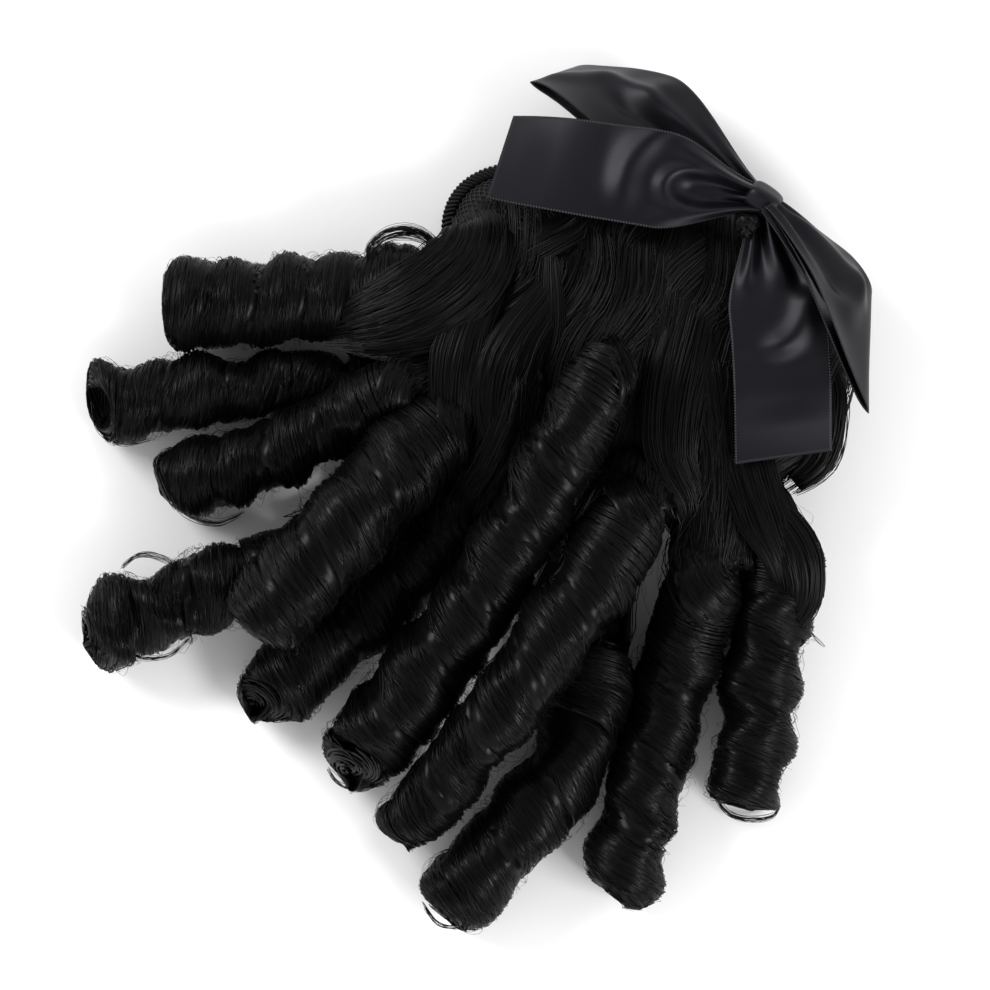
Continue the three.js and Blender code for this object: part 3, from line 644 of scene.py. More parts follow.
def fibre_tone_group():
    """Tone, gloss and relief that change from strand to strand."""
    known = bpy.data.node_groups.get("fibre_tone")
    if known:
        return known
    group, start, end = node_group(
        "fibre_tone",
        [("Dark", "NodeSocketColor", (0, 0, 0, 1)), ("Light", "NodeSocketColor", (1, 1, 1, 1)),
         ("Clump", "NodeSocketFloat", 90.0), ("Rough Low", "NodeSocketFloat", 0.3),
         ("Rough High", "NodeSocketFloat", 0.5)],
        [("Color", "NodeSocketColor"), ("Roughness", "NodeSocketFloat"), ("Height", "NodeSocketFloat")])
    nodes, links = group.nodes, group.links
    strand = nodes.new("ShaderNodeAttribute")
    strand.attribute_name = "strand"
    place = nodes.new("ShaderNodeTexCoord")
    clump = nodes.new("ShaderNodeTexNoise")
    clump.inputs["Detail"].default_value = 3.0
    links.new(place.outputs["Object"], clump.inputs["Vector"])
    links.new(start.outputs["Clump"], clump.inputs["Scale"])
    both = nodes.new("ShaderNodeMath")
    both.operation = "MULTIPLY_ADD"
    both.inputs[1].default_value = STRAND_TONE
    links.new(strand.outputs["Fac"], both.inputs[0])
    share = nodes.new("ShaderNodeMath")
    share.operation = "MULTIPLY"
    share.inputs[1].default_value = CLUMP_TONE
    links.new(clump.outputs["Fac"], share.inputs[0])
    links.new(share.outputs[0], both.inputs[2])
    tint = nodes.new("ShaderNodeMix")
    tint.data_type = "RGBA"
    links.new(both.outputs[0], tint.inputs["Factor"])
    links.new(start.outputs["Dark"], tint.inputs["A"])
    links.new(start.outputs["Light"], tint.inputs["B"])
    rough = nodes.new("ShaderNodeMapRange")
    links.new(strand.outputs["Fac"], rough.inputs["Value"])
    links.new(start.outputs["Rough Low"], rough.inputs["To Min"])
    links.new(start.outputs["Rough High"], rough.inputs["To Max"])
    links.new(tint.outputs["Result"], end.inputs["Color"])
    links.new(rough.outputs["Result"], end.inputs["Roughness"])
    links.new(clump.outputs["Fac"], end.inputs["Height"])
    return group


def weave_group():
    """Fine over-and-under threads with slight unevenness, as relief and a tone mask."""
    known = bpy.data.node_groups.get("fine_weave")
    if known:
        return known
    group, start, end = node_group(
        "fine_weave",
        [("Scale", "NodeSocketFloat", 3000.0), ("Uneven", "NodeSocketFloat", 60.0)],
        [("Height", "NodeSocketFloat"), ("Mask", "NodeSocketFloat")])
    nodes, links = group.nodes, group.links
    place = nodes.new("ShaderNodeTexCoord")
    heights = []
    for axis in ("X", "Y"):
        threads = nodes.new("ShaderNodeTexWave")
        threads.wave_type = "BANDS"
        threads.bands_direction = axis
        threads.inputs["Distortion"].default_value = 0.6
        threads.inputs["Detail"].default_value = 1.0
        links.new(place.outputs["Object"], threads.inputs["Vector"])
        links.new(start.outputs["Scale"], threads.inputs["Scale"])
        heights.append(threads.outputs["Fac"])
    over = nodes.new("ShaderNodeMath")
    over.operation = "MULTIPLY"
    links.new(heights[0], over.inputs[0])
    links.new(heights[1], over.inputs[1])
    slow = nodes.new("ShaderNodeTexNoise")
    slow.inputs["Detail"].default_value = 2.0
    links.new(place.outputs["Object"], slow.inputs["Vector"])
    links.new(start.outputs["Uneven"], slow.inputs["Scale"])
    links.new(over.outputs[0], end.inputs["Height"])
    links.new(slow.outputs["Fac"], end.inputs["Mask"])
    return group


def new_material(name):
    """A new material, its nodes and links, and its shader."""
    material = bpy.data.materials.new(name)
    material.use_nodes = True
    tree = material.node_tree
    return material, tree.nodes, tree.links, tree.nodes["Principled BSDF"]


def place_group(nodes, group, **values):
    """Places a shader group with its own values."""
    node = nodes.new("ShaderNodeGroup")
    node.node_tree = group
    for label, value in values.items():
        node.inputs[label.replace("_", " ")].default_value = value
    return node


def add_bump(nodes, links, height, shader, strength, distance):
    """Relief from a height over the surface."""
    bump = nodes.new("ShaderNodeBump")
    bump.inputs["Strength"].default_value = strength
    bump.inputs["Distance"].default_value = distance
    links.new(height, bump.inputs["Height"])
    links.new(bump.outputs["Normal"], shader.inputs["Normal"])


def shade(colour, share):
    """The colour, darkened to a share."""
    return tuple(share * c for c in colour[:3]) + (1.0,)


def fibre_material(name, dark, light):
    """A finish whose tone and gloss change from fibre to fibre, from its row in the table of finishes."""
    known = bpy.data.materials.get(name)
    if known:
        return known
    look = LOOKS[name]
    material, nodes, links, shader = new_material(name)
    tone = place_group(nodes, fibre_tone_group(), Dark=dark, Light=light, Clump=look["clump"],
                       Rough_Low=look["rough"][0], Rough_High=look["rough"][1])
    relief = tone
    if look["knit"]:
        relief = place_group(nodes, weave_group(), Scale=look["knit"][0], Uneven=look["knit"][1])
    links.new(tone.outputs["Color"], shader.inputs["Base Color"])
    links.new(tone.outputs["Roughness"], shader.inputs["Roughness"])
    add_bump(nodes, links, relief.outputs["Height"], shader, look["bump"], look["depth"])
    shader.inputs["Specular IOR Level"].default_value = look["gloss"]
    shader.inputs["Sheen Weight"].default_value = look["sheen"]
    return material


def hair_material(hair):
    """Black fibre with a soft gloss."""
    return fibre_material("black_fibre", hair.dark, hair.light)


def knit_material(cap):
    """Matt knitted yarn."""
    return fibre_material("matt_knit", shade(cap.colour, KNIT_DARK), cap.colour)


def elastic_material(cap):
    """The crumpled cloth under the knot."""
    dark, light = (shade(cap.colour, share) for share in (ELASTIC_DARK, ELASTIC_LIGHT))
    return fibre_material("crumpled_elastic", dark, light)


def selvage_material(bow):
    """The woven edge of the ribbon."""
    return fibre_material("woven_edge", shade(bow.edge, SELVAGE_DARK), bow.edge)


def satin_material(bow):
    """Black satin with a fine weave."""
    known = bpy.data.materials.get("black_satin")
    if known:
        return known
    material, nodes, links, shader = new_material("black_satin")
    weave = place_group(nodes, weave_group(), Scale=SATIN["weave"], Uneven=SATIN["uneven"])
    tint = nodes.new("ShaderNodeMix")
    tint.data_type = "RGBA"
    tint.inputs["A"].default_value = shade(bow.satin, SATIN["dark"])
    tint.inputs["B"].default_value = bow.satin
    links.new(weave.outputs["Mask"], tint.inputs["Factor"])
    links.new(tint.outputs["Result"], shader.inputs["Base Color"])
    rough = nodes.new("ShaderNodeMapRange")
    rough.inputs["To Min"].default_value, rough.inputs["To Max"].default_value = SATIN["rough"]
    links.new(weave.outputs["Mask"], rough.inputs["Value"])
    links.new(rough.outputs["Result"], shader.inputs["Roughness"])
    add_bump(nodes, links, weave.outputs["Height"], shader, SATIN["bump"], SATIN["depth"])
    shader.inputs["Specular IOR Level"].default_value = SATIN["gloss"]
    shader.inputs["Specular Tint"].default_value = SATIN["tint"]
    return material


# The domes of the cap and the crown

def dome_point(shape, grow, turn, rise):
    """Places on an oval dome: turn goes round it and rise goes from the rim to the top."""
    ring = np.cos(rise) ** (2 / shape["power"])
    height = np.sin(rise) ** (2 / shape["power"])
    spread = grow
    if "locks" in shape:
        wave = np.cos(shape["locks"] * turn + shape["twist"] * rise)
        spread = grow + shape["ridge"] * wave * smooth(shape["fade"] * ring)
    half = np.where(turn > math.pi, shape["front"], shape["back"])
    long = np.where(np.cos(turn) < 0, shape["left"], shape["long"])
    centre = np.array([shape["x"], shape["y"], 0.0])
    return (centre + UP * ((shape["high"] + grow) * height)[..., None]
            + ALONG * ((long + spread) * ring * np.cos(turn))[..., None]
            + ACROSS * ((half + spread) * ring * np.sin(turn))[..., None])


def dome_shell(parts, shape, outer, inner, bottom):
    """A dome with an outer and an inner face, joined at the rim and open at the bottom."""
    turn = np.linspace(0, 2 * math.pi, shape["sides"], endpoint=False)
    rise = np.linspace(0, 0.5 * math.pi - 1e-3, shape["levels"])
    faces = []
    for grow in (outer, inner):
        points = dome_point(shape, grow, *np.meshgrid(turn, rise))
        points[0, :, 2] = bottom
        faces.append(points)
    parts.grid(np.concatenate([faces[1][::-1], faces[0]]), shape["tone"], wrap=True)


def rim_places(grow, turn):
    """Places round the rim of the cap, one for each turn and distance out."""
    places = zip(turn % (2 * math.pi), grow)
    return np.stack([dome_point(CAP, GAP + out, np.array([at]), np.zeros(1))[0] for at, out in places])


def crown_height(a, b):
    """Height of the crown over a plan place, given as shares of its half lengths."""
    power = CROWN["power"]
    ring = np.minimum(np.hypot(a, b), CROWN["rim"])
    return CROWN["high"] * (1 - ring ** power) ** (1 / power)


def crown_place(a, b):
    """The place on the crown over a plan place."""
    half = np.where(b < 0, CROWN["front"], CROWN["back"])
    centre = np.array([CROWN["x"], CROWN["y"], 0.0])
    return (centre + ALONG * (CROWN["long"] * a)[..., None] + ACROSS * (half * b)[..., None]
            + UP * crown_height(a, b)[..., None])


def crown_normal(a, b):
    """The way out of the crown over a plan place."""
    da = crown_place(a + SMALL_SHARE, b) - crown_place(a - SMALL_SHARE, b)
    db = crown_place(a, b + SMALL_SHARE) - crown_place(a, b - SMALL_SHARE)
    return unit(np.cross(da, db))


# Ringlets

def winding(tip, flat, beyond, angle):
    """Stations along a ringlet's axis, close together where its lock turns, and the angle at each."""
    along = flat
    known_along, known_angle = [0.0, flat], [angle, angle]
    while along < beyond:
        begun = max(WIND_LEAST, float(smooth((along - flat + WIND_EARLY) / WIND_RAMP)))
        rate = (2 * math.pi / tip["pitch"]) * begun
        step = min(2 * math.pi / STEPS_PER_TURN / rate, WIND_STEP)
        along += step
        angle += rate * step
        known_along.append(along)
        known_angle.append(angle)
    fine = np.linspace(0, beyond, FINE_POINTS)
    wound = np.interp(fine, known_along, known_angle)
    effort = (wound - wound[0]) * STATIONS_PER_TURN / (2 * math.pi) + fine / FLAT_SPACING
    stations = np.interp(np.arange(0, effort[-1], 1.0), effort, fine)
    if tip["from"] < BARE_SHARE:
        stations = stations[stations >= flat]
    return stations, np.interp(stations, known_along, known_angle)


def widths_along(row, tip, fill, stations, flat):
    """Width of a ringlet's lock at its stations: narrow at the root and full on the coil."""
    full = fill * tip["pitch"]
    if tip["from"] < BARE_SHARE:
        return full * mix(BARE_POINT, 1, smooth((stations - flat) / (BARE_TAPER * tip["pitch"])))
    width = mix(row["lock_width"], full, smooth(stations / (flat + COIL_RAMP)))
    return width * mix(ROOT_SHARE, 1, smooth(stations / ROOT_LENGTH))


def seam_depths(tip, stations, angle, length, rng):
    """How deep the seam is at each station, as a share of the groove."""
    pitch = tip["pitch"]
    turns = angle / (2 * math.pi)
    knots = np.arange(turns[0] - 1, turns[-1] + 2, SEAM["spacing"])
    deep = np.interp(turns, knots, rng.uniform(*SEAM["range"], len(knots))) * tip["seam"]
    at_tip = smooth((stations - length + SEAM["tip_from"] * pitch) / (SEAM["tip_run"] * pitch))
    return deep * mix(1, SEAM["tip"], at_tip)


def lock_line(row, tip, fill, rng):
    """The middle line of a ringlet's lock, with its directions, its width and what its tip does."""
    points, measure = even_curve(row["places"])
    length = measure[-1]
    flat = tip["from"] * length
    pitch = tip["pitch"]
    beyond = length + 0.5 * fill * pitch + tip["reach"] + max(abs(tip["up"]), abs(tip["aside"]))
    stations, angle = winding(tip, flat, beyond, math.radians(row["joins"]))
    centre, tangent = along_curve(points, measure, stations)
    centre += tangent * np.maximum(0, stations - length)[:, None]
    side = unit(np.cross(tangent, UP))
    lift = np.cross(side, tangent)
    coiled = np.clip((stations - flat) / (length - flat), 0, 1)
    outer = mix(row["start_radius"], row["tip_radius"], coiled)
    resting = (outer + GAP) * smooth((stations - flat + LIFT_LENGTH / 2) / LIFT_LENGTH)
    centre[:, 2] = np.maximum(centre[:, 2], resting)
    lifted = smooth((stations - flat + LIFT_LENGTH) / LIFT_LENGTH)
    normal = round_axis(side, lift, angle)
    started = np.clip((stations - flat) / tip["start"], 0, 1)
    begun = mix(START_SHARE, 1, np.sqrt(1 - (1 - started) ** 2))
    ending = tip["narrow"] * smooth((stations - length + pitch) / pitch)
    radius = (outer - HAIR_OUT) * lifted * begun - ending
    path = centre + normal * radius[:, None]
    keep_above(path, REST_HEIGHT)
    dive = ROOT_DIVE * (1 - smooth(stations / ROOT_LENGTH))
    path[:, 2] -= np.minimum(dive, path[:, 2] - REST_HEIGHT)
    run = np.gradient(path, axis=0)
    travelled = np.cumsum(np.linalg.norm(run, axis=1))
    run = unit(run)
    wide = unit(np.cross(run, normal))
    deep = seam_depths(tip, stations, angle, length, rng)
    mouth = length + tip["reach"]
    waves = [(tip["lump"] * rng.uniform(*LUMPS["size"]), 2 * math.pi / rng.uniform(*LUMPS["length"]), turns,
              rng.uniform(*ANY_PHASE)) for turns in LUMPS["round"]]
    return {"path": path, "wide": wide, "out": np.cross(wide, run), "normal": normal, "tangent": tangent,
            "centre": centre, "side": side, "lift": lift, "along": stations, "angle": angle,
            "travelled": travelled, "radius": radius, "flat": flat, "pitch": pitch, "deep": deep,
            "width": widths_along(row, tip, fill, stations, flat), "waves": waves, "mouth": mouth,
            "rim": mouth + tip["up"] * np.cos(angle) - tip["aside"] * np.sin(angle),
            "facing": np.sum(wide * tangent, axis=1), "wound": smooth((stations - flat) / WIND_RAMP),
            **{key: tip[key] for key in ("curl", "round", "up", "aside", "bulge")}}


def lock_height(line, index, share, groove):
    """Height of the lock's surface over its middle line: full in the middle, low at both edges."""
    flat = FLAT_BULGE * line["width"][index] * (1 - 4 * share ** 2) * (1 - line["wound"][index])
    return HAIR_OUT + flat - groove * line["deep"][index] * np.abs(2 * share) ** SEAM["power"]


def lock_points(line, index, where, high):
    """Places on the lock: where goes across it and high goes outward. What would pass the rim stops."""
    shift = where * line["width"][index]
    at = line["along"][index] + shift * line["facing"][index]
    wound = line["wound"][index]
    high = high + np.interp(at, line["along"], line["radius"]) - line["radius"][index]
    for size, rate, turns, phase in line["waves"]:
        high = high + wound * size * np.sin(rate * at + turns * line["angle"][index] + phase)
    place = line["path"][index] + line["wide"][index] * shift[:, None] + line["out"][index] * high[:, None]
    room = line["rim"][index] - at
    kept = 0.5 * (room + np.sqrt(room ** 2 + RIM["soft"] ** 2))
    past = smooth(-room / (RIM["curl"] * line["width"][index]))
    to_rim = 1 - np.clip(kept / (RIM["reach"] * line["round"]), 0, 1)
    turned_in = line["round"] * (1 - np.sqrt(1 - to_rim ** 2)) + line["curl"] * past
    turned_in = np.minimum(turned_in, RIM["most"] * line["radius"][index])
    place += line["tangent"][index] * ((room - kept + RIM["dome"] * past) * wound)[:, None]
    place -= line["normal"][index] * (turned_in * wound)[:, None]
    keep_above(place, GAP)
    return place


def add_backing(parts, line, groove):
    """The closed strip under the strands; its low tone is painted shade where it shows between them."""
    index = np.arange(0, len(line["path"]) - BACKING["short"], BACKING["step"])
    shares = np.linspace(-0.5, 0.5, BACKING["columns"])
    flat = np.ones(len(index))
    ring = [(share, lock_height(line, index, share, groove) - BACKING["under"]) for share in shares]
    ring += [(share, -HAIR_IN * flat) for share in shares[::-1]]
    rows = np.stack([lock_points(line, index, share * flat, high) for share, high in ring], axis=1)
    parts.grid(rows, BACKING["tone"], wrap=True, ends=True)


def add_strands(parts, line, rng, count, strand_width, groove):
    """Strands side by side along the lock, in small clumps, with some that cross over the others."""
    travelled = line["travelled"]
    rolls = STRAND["roll"] * soft_noise(rng, count, STRAND["blend"])
    rolls = rolls + STRAND["loose"] * rng.normal(0, 1, count)
    slide = sway(rng, travelled, "slide") + sway(rng, travelled, "shuffle")
    for k in range(count):
        share = (k + 0.5) / count - 0.5
        crossing = rng.random() < STRAND["crossing"]
        last = len(travelled) - 1 - int(abs(rng.normal(0, STRAND["short"])))
        index = np.arange(rng.integers(0, STRAND["step"]), last, STRAND["step"])
        run = travelled[index]
        swing = rng.uniform(*STRAND["swing"]) if crossing else STRAND["calm"]
        where = share + swing * sway(rng, run, "swing") + sway(rng, run, "shake")
        where = np.clip(where, -STRAND["edge"], STRAND["edge"])
        clump = np.sin(2 * math.pi * (STRAND["clumps"] * line["pitch"] * where + slide[index]))
        high = lock_height(line, index, where, groove) - STRAND["under"] + STRAND["clump"] * clump
        high = high + (STRAND["over"] if crossing else 0.0) + rng.normal(0, STRAND["uneven"])
        high = high + sway(rng, run, "ripple") + sway(rng, run, "rise")
        path = lock_points(line, index, where, high)
        width = np.full(len(index), strand_width * rng.uniform(*STRAND["wide"]))
        width[-len(STRAND["tip"]):] *= np.array(STRAND["tip"])
        roll = rolls[k] + sway(rng, run, "roll")
        lean, level = rolled(line["out"][index], line["wide"][index], roll)
        parts.strand(path, lean, level, width, rng.random())


def add_nose(parts, line, rng, strand_width):
    """The rounded start of the coil: a closed core, and strands all round it just under the first turn."""

    def axis_at(at):
        return (np.stack([np.interp(at, line["along"], line[key][:, k]) for k in range(3)], axis=1)
                for key in ("centre", "side", "lift"))

    def reach_at(at):
        return np.interp(at, line["along"], line["radius"]) + HAIR_OUT

    at = line["flat"] + line["pitch"] * np.linspace(0, NOSE_CORE["long"], NOSE_CORE["rings"])
    turn = np.linspace(0, 2 * math.pi, NOSE_CORE["sides"], endpoint=False)[None, :, None]
    centre, side, lift = axis_at(at)
    out = lift[:, None] * np.cos(turn) - side[:, None] * np.sin(turn)
    reach = np.maximum(reach_at(at) - NOSE_CORE["under"], NOSE_CORE["least"])
    core = centre[:, None] + out * reach[:, None, None]
    keep_above(core, GAP)
    # The core's low tone is painted shade, seen dark through holes and slits at the coil's start
    parts.grid(core, NOSE_CORE["tone"], wrap=True, ends=True)
    for _ in range(NOSE["strands"]):
        turn = rng.uniform(0, 2 * math.pi) + np.linspace(0, rng.uniform(*NOSE["turn"]), NOSE["points"])
        at = line["flat"] + line["pitch"] * (rng.uniform(*NOSE["from"]) + NOSE["slant"] * turn)
        centre, side, lift = axis_at(at)
        out = round_axis(side, lift, turn)
        path = centre + out * (reach_at(at) - NOSE["under"] * rng.uniform(*NOSE["uneven"]))[:, None]
        keep_above(path, STRAND_FLOOR)
        run = unit(np.gradient(path, axis=0))
        width = np.full(NOSE["points"], NOSE["wide"] * strand_width)
        parts.strand(path, out, unit(np.cross(run, out)), width, rng.random())


def add_swirl(parts, line, rng, count, strand_width):
    """Strands that coil inward over the tip and close it."""
    centre, tangent, side, lift = (line[key][-1] for key in ("centre", "tangent", "side", "lift"))
    points = SWIRL["points"]
    width = np.full(points, SWIRL["wide"] * strand_width)
    for _ in range(count):
        turn = rng.uniform(0, 2 * math.pi) + np.linspace(0, rng.uniform(*SWIRL["turn"]), points)
        share = np.linspace(rng.uniform(*SWIRL["outer"]), rng.uniform(*SWIRL["inner"]), points)
        out = round_axis(side, lift, turn)
        reach = share * (line["radius"][-1] + HAIR_OUT - SWIRL["round"] * line["round"])
        slope = line["up"] * np.cos(turn) - line["aside"] * np.sin(turn)
        ahead = line["mouth"] + slope * share - rng.uniform(*SWIRL["depth"]) - line["along"][-1]
        ahead = ahead + line["bulge"] * (1 - share ** 2)
        path = centre + tangent * ahead[:, None] + out * reach[:, None]
        keep_above(path, STRAND_FLOOR)
        run = unit(np.gradient(path, axis=0))
        facing = unit(tangent + out * (SWIRL["facing"] * np.sign(line["bulge"]) * share)[:, None])
        parts.strand(path, facing, unit(np.cross(run, facing)), width, rng.random())


def add_inner_strands(parts, line, rng, count, strand_width):
    """Strands on the inside of the last turns, seen through the open tip."""
    total = len(line["path"])
    for _ in range(count):
        first = total - INNER["stations"] + rng.integers(0, INNER["step"])
        index = np.arange(first, total - rng.integers(*INNER["short"]), INNER["step"])
        where = np.full(len(index), rng.uniform(-0.5, 0.5))
        high = np.full(len(index), -INNER["under"] * HAIR_THICK - rng.uniform(*INNER["uneven"]))
        path = lock_points(line, index, where, high)
        width = np.full(len(index), strand_width)
        parts.strand(path, -line["out"][index], line["wide"][index], width, rng.random())


def add_flyaways(parts, line, rng, count, strand_width):
    """Stray hairs that leave the lock and come back or end in the air."""
    total = len(line["path"])
    first = int(np.searchsorted(line["along"], STRAY["from"] * line["flat"]))
    for _ in range(count):
        start = int(rng.integers(first, total - STRAY["room"]))
        last = min(total - 1, start + int(rng.integers(*STRAY["stations"])))
        index = np.arange(start, last, STRAY["step"])
        if len(index) < STRAY["fewest"]:
            continue
        t = np.linspace(0, 1, len(index))
        where = rng.uniform(-0.5, 0.5) + rng.normal(0, STRAY["drift"]) * t
        leaving = np.sin(math.pi * t) if rng.random() < STRAY["back"] else t ** STRAY["leave"]
        high = STRAY["base"] * HAIR_THICK + rng.gamma(STRAY["shape"], STRAY["scale"]) * leaving
        path = lock_points(line, index, where, high)
        parts.hair(path, STRAY["wide"] * strand_width * (1 - STRAY["taper"] * t), rng.random())


def add_wisp(parts, row, rng, strand_width):
    """A loose lock of a few strands along its own curve."""
    points, measure = even_curve(row["places"], WISP["curve"])
    t = np.linspace(0, 1, WISP["points"])
    swell = row["spread"] * (WISP["swell"][0] + WISP["swell"][1] * np.sin(math.pi * t))
    for _ in range(row["strands"]):
        ends = rng.uniform(*WISP["ends"], 2) * measure[-1]
        along = np.linspace(ends[0], measure[-1] - ends[1], WISP["points"])
        place, tangent = along_curve(points, measure, along)
        side = unit(np.cross(tangent, UP))
        aside = rng.normal(0, WISP["aside"]) * swell
        curl = WISP["curl"] * np.sin(WISP["curls"] * t + rng.uniform(*WISP["phase"]))
        place += side * (aside + curl)[:, None]
        place[:, 2] += rng.normal(0, WISP["lift"]) * swell
        keep_above(place, STRAND_FLOOR)
        width = strand_width * rng.uniform(*WISP["wide"]) * (1 - WISP["taper"] * t ** 3)
        parts.hair(place, width, rng.random())


class PONYTAIL_OT_ringlets(bpy.types.Operator):
    """Winds each ringlet from a backing, strands, stray hairs and loose wisps"""
    bl_idname = "ponytail.ringlets"
    bl_label = "Ringlets"

    def execute(self, context):
        hair = context.scene.ponytail_hair
        material = hair_material(hair)
        strand_width = 1000 * hair.strand_width
        groove = 1000 * hair.groove
        for k, row in enumerate(RINGLETS):
            rng = np.random.default_rng(SEED + k)
            line = lock_line(row, ENDS[k], hair.coil_fill, rng)
            parts = MeshParts()
            add_backing(parts, line, groove)
            count = int(hair.strands * hair.coil_fill * ENDS[k]["pitch"] / STRANDS_ACROSS)
            add_strands(parts, line, rng, count, strand_width, groove)
            add_nose(parts, line, rng, strand_width)
            add_swirl(parts, line, rng, ENDS[k]["swirl"], strand_width)
            add_inner_strands(parts, line, rng, hair.strands // INNER["one_in"], strand_width)
            add_flyaways(parts, line, rng, int(hair.flyaways * ENDS[k]["stray"]), strand_width)
            for wisp in WISPS:
                if wisp["of"] == row["name"]:
                    add_wisp(parts, wisp, rng, strand_width)
            settle(parts.make(row["name"] + "_strands", material), "hair", row["name"])
        return {"FINISHED"}


# The crown

def add_lock(parts, row, rng, strand_width):
    """A lens-shaped lock of strands along its own curve, over a thin closed backing."""
    points, measure = even_curve(row["places"], LOCK["curve"])
    stops = np.linspace(0, 1, len(row["widths"]))
    rate = LOCK["dive_rate"]

    def lock_place(t, share, high):
        place, tangent = along_curve(points, measure, t * measure[-1])
        side = unit(np.cross(tangent, UP))
        lift = np.cross(side, tangent)
        width = np.interp(t, stops, row["widths"])
        dive = LOCK["root_dive"] * (1 - smooth(rate * t)) + LOCK["tip_dive"] * smooth(rate * t - rate + 1)
        bulge = LOCK["bulge"] * width * (1 - (2 * share) ** 2) - dive
        place = place + side * (share * width)[:, None] + lift * (bulge + high)[:, None]
        keep_above(place, LOCK["floor"])
        return place, side, lift

    t = np.linspace(LOCK_BACKING["from"], LOCK_BACKING["to"], LOCK_BACKING["rings"])
    across = np.linspace(-LOCK_BACKING["edge"], LOCK_BACKING["edge"], LOCK_BACKING["columns"])
    ring = [(share, LOCK_BACKING["top"]) for share in across]
    ring += [(share, LOCK_BACKING["low"]) for share in across[::-1]]
    backing = np.stack([lock_place(t, share, high)[0] for share, high in ring], axis=1)
    # The backing's low tone is painted shade between the strands
    parts.grid(backing, LOCK_BACKING["tone"], wrap=True, ends=True)
    count = row["strands"]
    rolls = LOCK["roll"] * soft_noise(rng, count, LOCK["roll_blend"])
    clumps = LOCK["clump"] * soft_noise(rng, count, LOCK["clump_blend"])
    for k in range(count):
        share = (k + 0.5) / count - 0.5 + rng.normal(0, LOCK["uneven"])
        t = np.linspace(rng.uniform(*LOCK["start"]), rng.uniform(*LOCK["end"]), LOCK["points"])
        swing = rng.uniform(*LOCK["swing"])
        swing = swing * np.sin(rng.uniform(*LOCK["swings"]) * t + rng.uniform(*ANY_PHASE))
        path, side, lift = lock_place(t, share + swing, clumps[k] + rng.normal(0, LOCK["high"]))
        lean, level = rolled(lift, side, LOCK["tilt"] * share + rolls[k])
        ending = smooth(LOCK["taper_rate"] * t - LOCK["taper_rate"] + 1)
        width = strand_width * rng.uniform(*LOCK["wide"]) * (1 - LOCK["taper"] * ending)
        parts.strand(path, lean, level, width, rng.random())


def add_crown_lock(parts, rng, weft, start, strand_width):
    """A leaf-shaped lock that lies on the crown, below the row of locks before it."""
    drift = WEFT["drift"] * (1 - start ** 2) + rng.normal(0, WEFT["drift_noise"])
    first = mix(WEFT["first"], WEFT["last"], weft / (WEFT["rows"] - 1)) + rng.normal(0, WEFT["noise"])
    last = first + rng.uniform(*WEFT["long"])
    wide = WEFT["wide"] * rng.uniform(*WEFT["share"]) / CROWN["long"]
    lift = rng.uniform(*WEFT["lift"])
    wave = rng.uniform(*WEFT["wave"])
    phase = rng.uniform(*ANY_PHASE)
    count = WEFT["strands"]
    shares = np.linspace(-0.5, 0.5, count) + rng.normal(0, WEFT["uneven"], count)
    rolls = WEFT["roll"] * soft_noise(rng, count, WEFT["blend"])
    for share, roll in zip(shares, rolls):
        t = np.linspace(rng.uniform(*WEFT["start"]), rng.uniform(*WEFT["end"]), WEFT["points"])
        leaf = np.clip(WEFT["leaf_from"] + WEFT["leaf_long"] * t, 0, 1)
        leaf = np.sin(math.pi * leaf) ** WEFT["leaf_power"]
        down = np.clip(mix(first, last, t), 0, 1)
        shake = WEFT["shake"] * np.sin(WEFT["shakes"] * t + rng.uniform(*ANY_PHASE))
        a = start + drift * (down - WEFT["drift_from"]) + wave * np.sin(WEFT["waves"] * t + phase)
        a = np.clip(a + (share + shake) * wide * leaf, -WEFT["rim"], WEFT["rim"])
        top = WEFT["rim"] * np.sqrt(1 - np.clip(a, -WEFT["reach"], WEFT["reach"]) ** 2)
        b = mix(top, -top, down)
        normal = crown_normal(a, b)
        full = lift + WEFT["full"] * (1 - (2 * share) ** 2)
        relief = full * leaf - WEFT["tuck"] * (1 - leaf) + rng.normal(0, WEFT["high"])
        path = crown_place(a, b) + normal * relief[:, None]
        keep_above(path, WEFT["floor"])
        side = unit(np.cross(unit(np.gradient(path, axis=0)), normal))
        lean, level = rolled(normal, side, WEFT["tilt"] * share + roll)
        width = np.full(len(t), strand_width * rng.uniform(*WEFT["thick"]))
        parts.strand(path, lean, level, width, rng.random())


def add_curtain(parts, rng, strand_width):
    """Strands that hang in waves over the back and the ends of the crown, from its top to its rim."""
    count = CURTAIN["strands"]
    t = np.linspace(0, 1, CURTAIN["points"])
    for k in range(count):
        start = mix(CURTAIN["from"], CURTAIN["to"], (k + rng.random()) / count)
        rise = mix(rng.uniform(*CURTAIN["top"]), rng.uniform(*CURTAIN["low"]), t)
        wave = CURTAIN["wave"] * np.sin(CURTAIN["waves"] * t + CURTAIN["wave_shift"] * start)
        shake = CURTAIN["shake"] * np.sin(CURTAIN["shakes"] * t + rng.uniform(*ANY_PHASE))
        turn = start + wave + shake
        ridge = CURTAIN["ridge"] * np.sin(CURTAIN["ridges"] * start + CURTAIN["ridge_slant"] * t)
        grow = CURTAIN["proud"] + ridge + rng.normal(0, CURTAIN["high"])
        path, after, above = (dome_point(CROWN, grow, (turn + a) % (2 * math.pi), rise + b)
                              for a, b in ((0, 0), (SMALL_TURN, 0), (0, SMALL_TURN)))
        normal = unit(np.cross(after - path, above - path))
        keep_above(path, CURTAIN["floor"])
        side = unit(np.cross(unit(np.gradient(path, axis=0)), normal))
        roll = CURTAIN["roll"] * math.sin(CURTAIN["rolls"] * start) + rng.normal(0, CURTAIN["loose"])
        lean, level = rolled(normal, side, roll)
        width = np.full(len(t), CURTAIN["wide"] * strand_width * rng.uniform(*CURTAIN["thick"]))
        parts.strand(path, lean, level, width, rng.random())


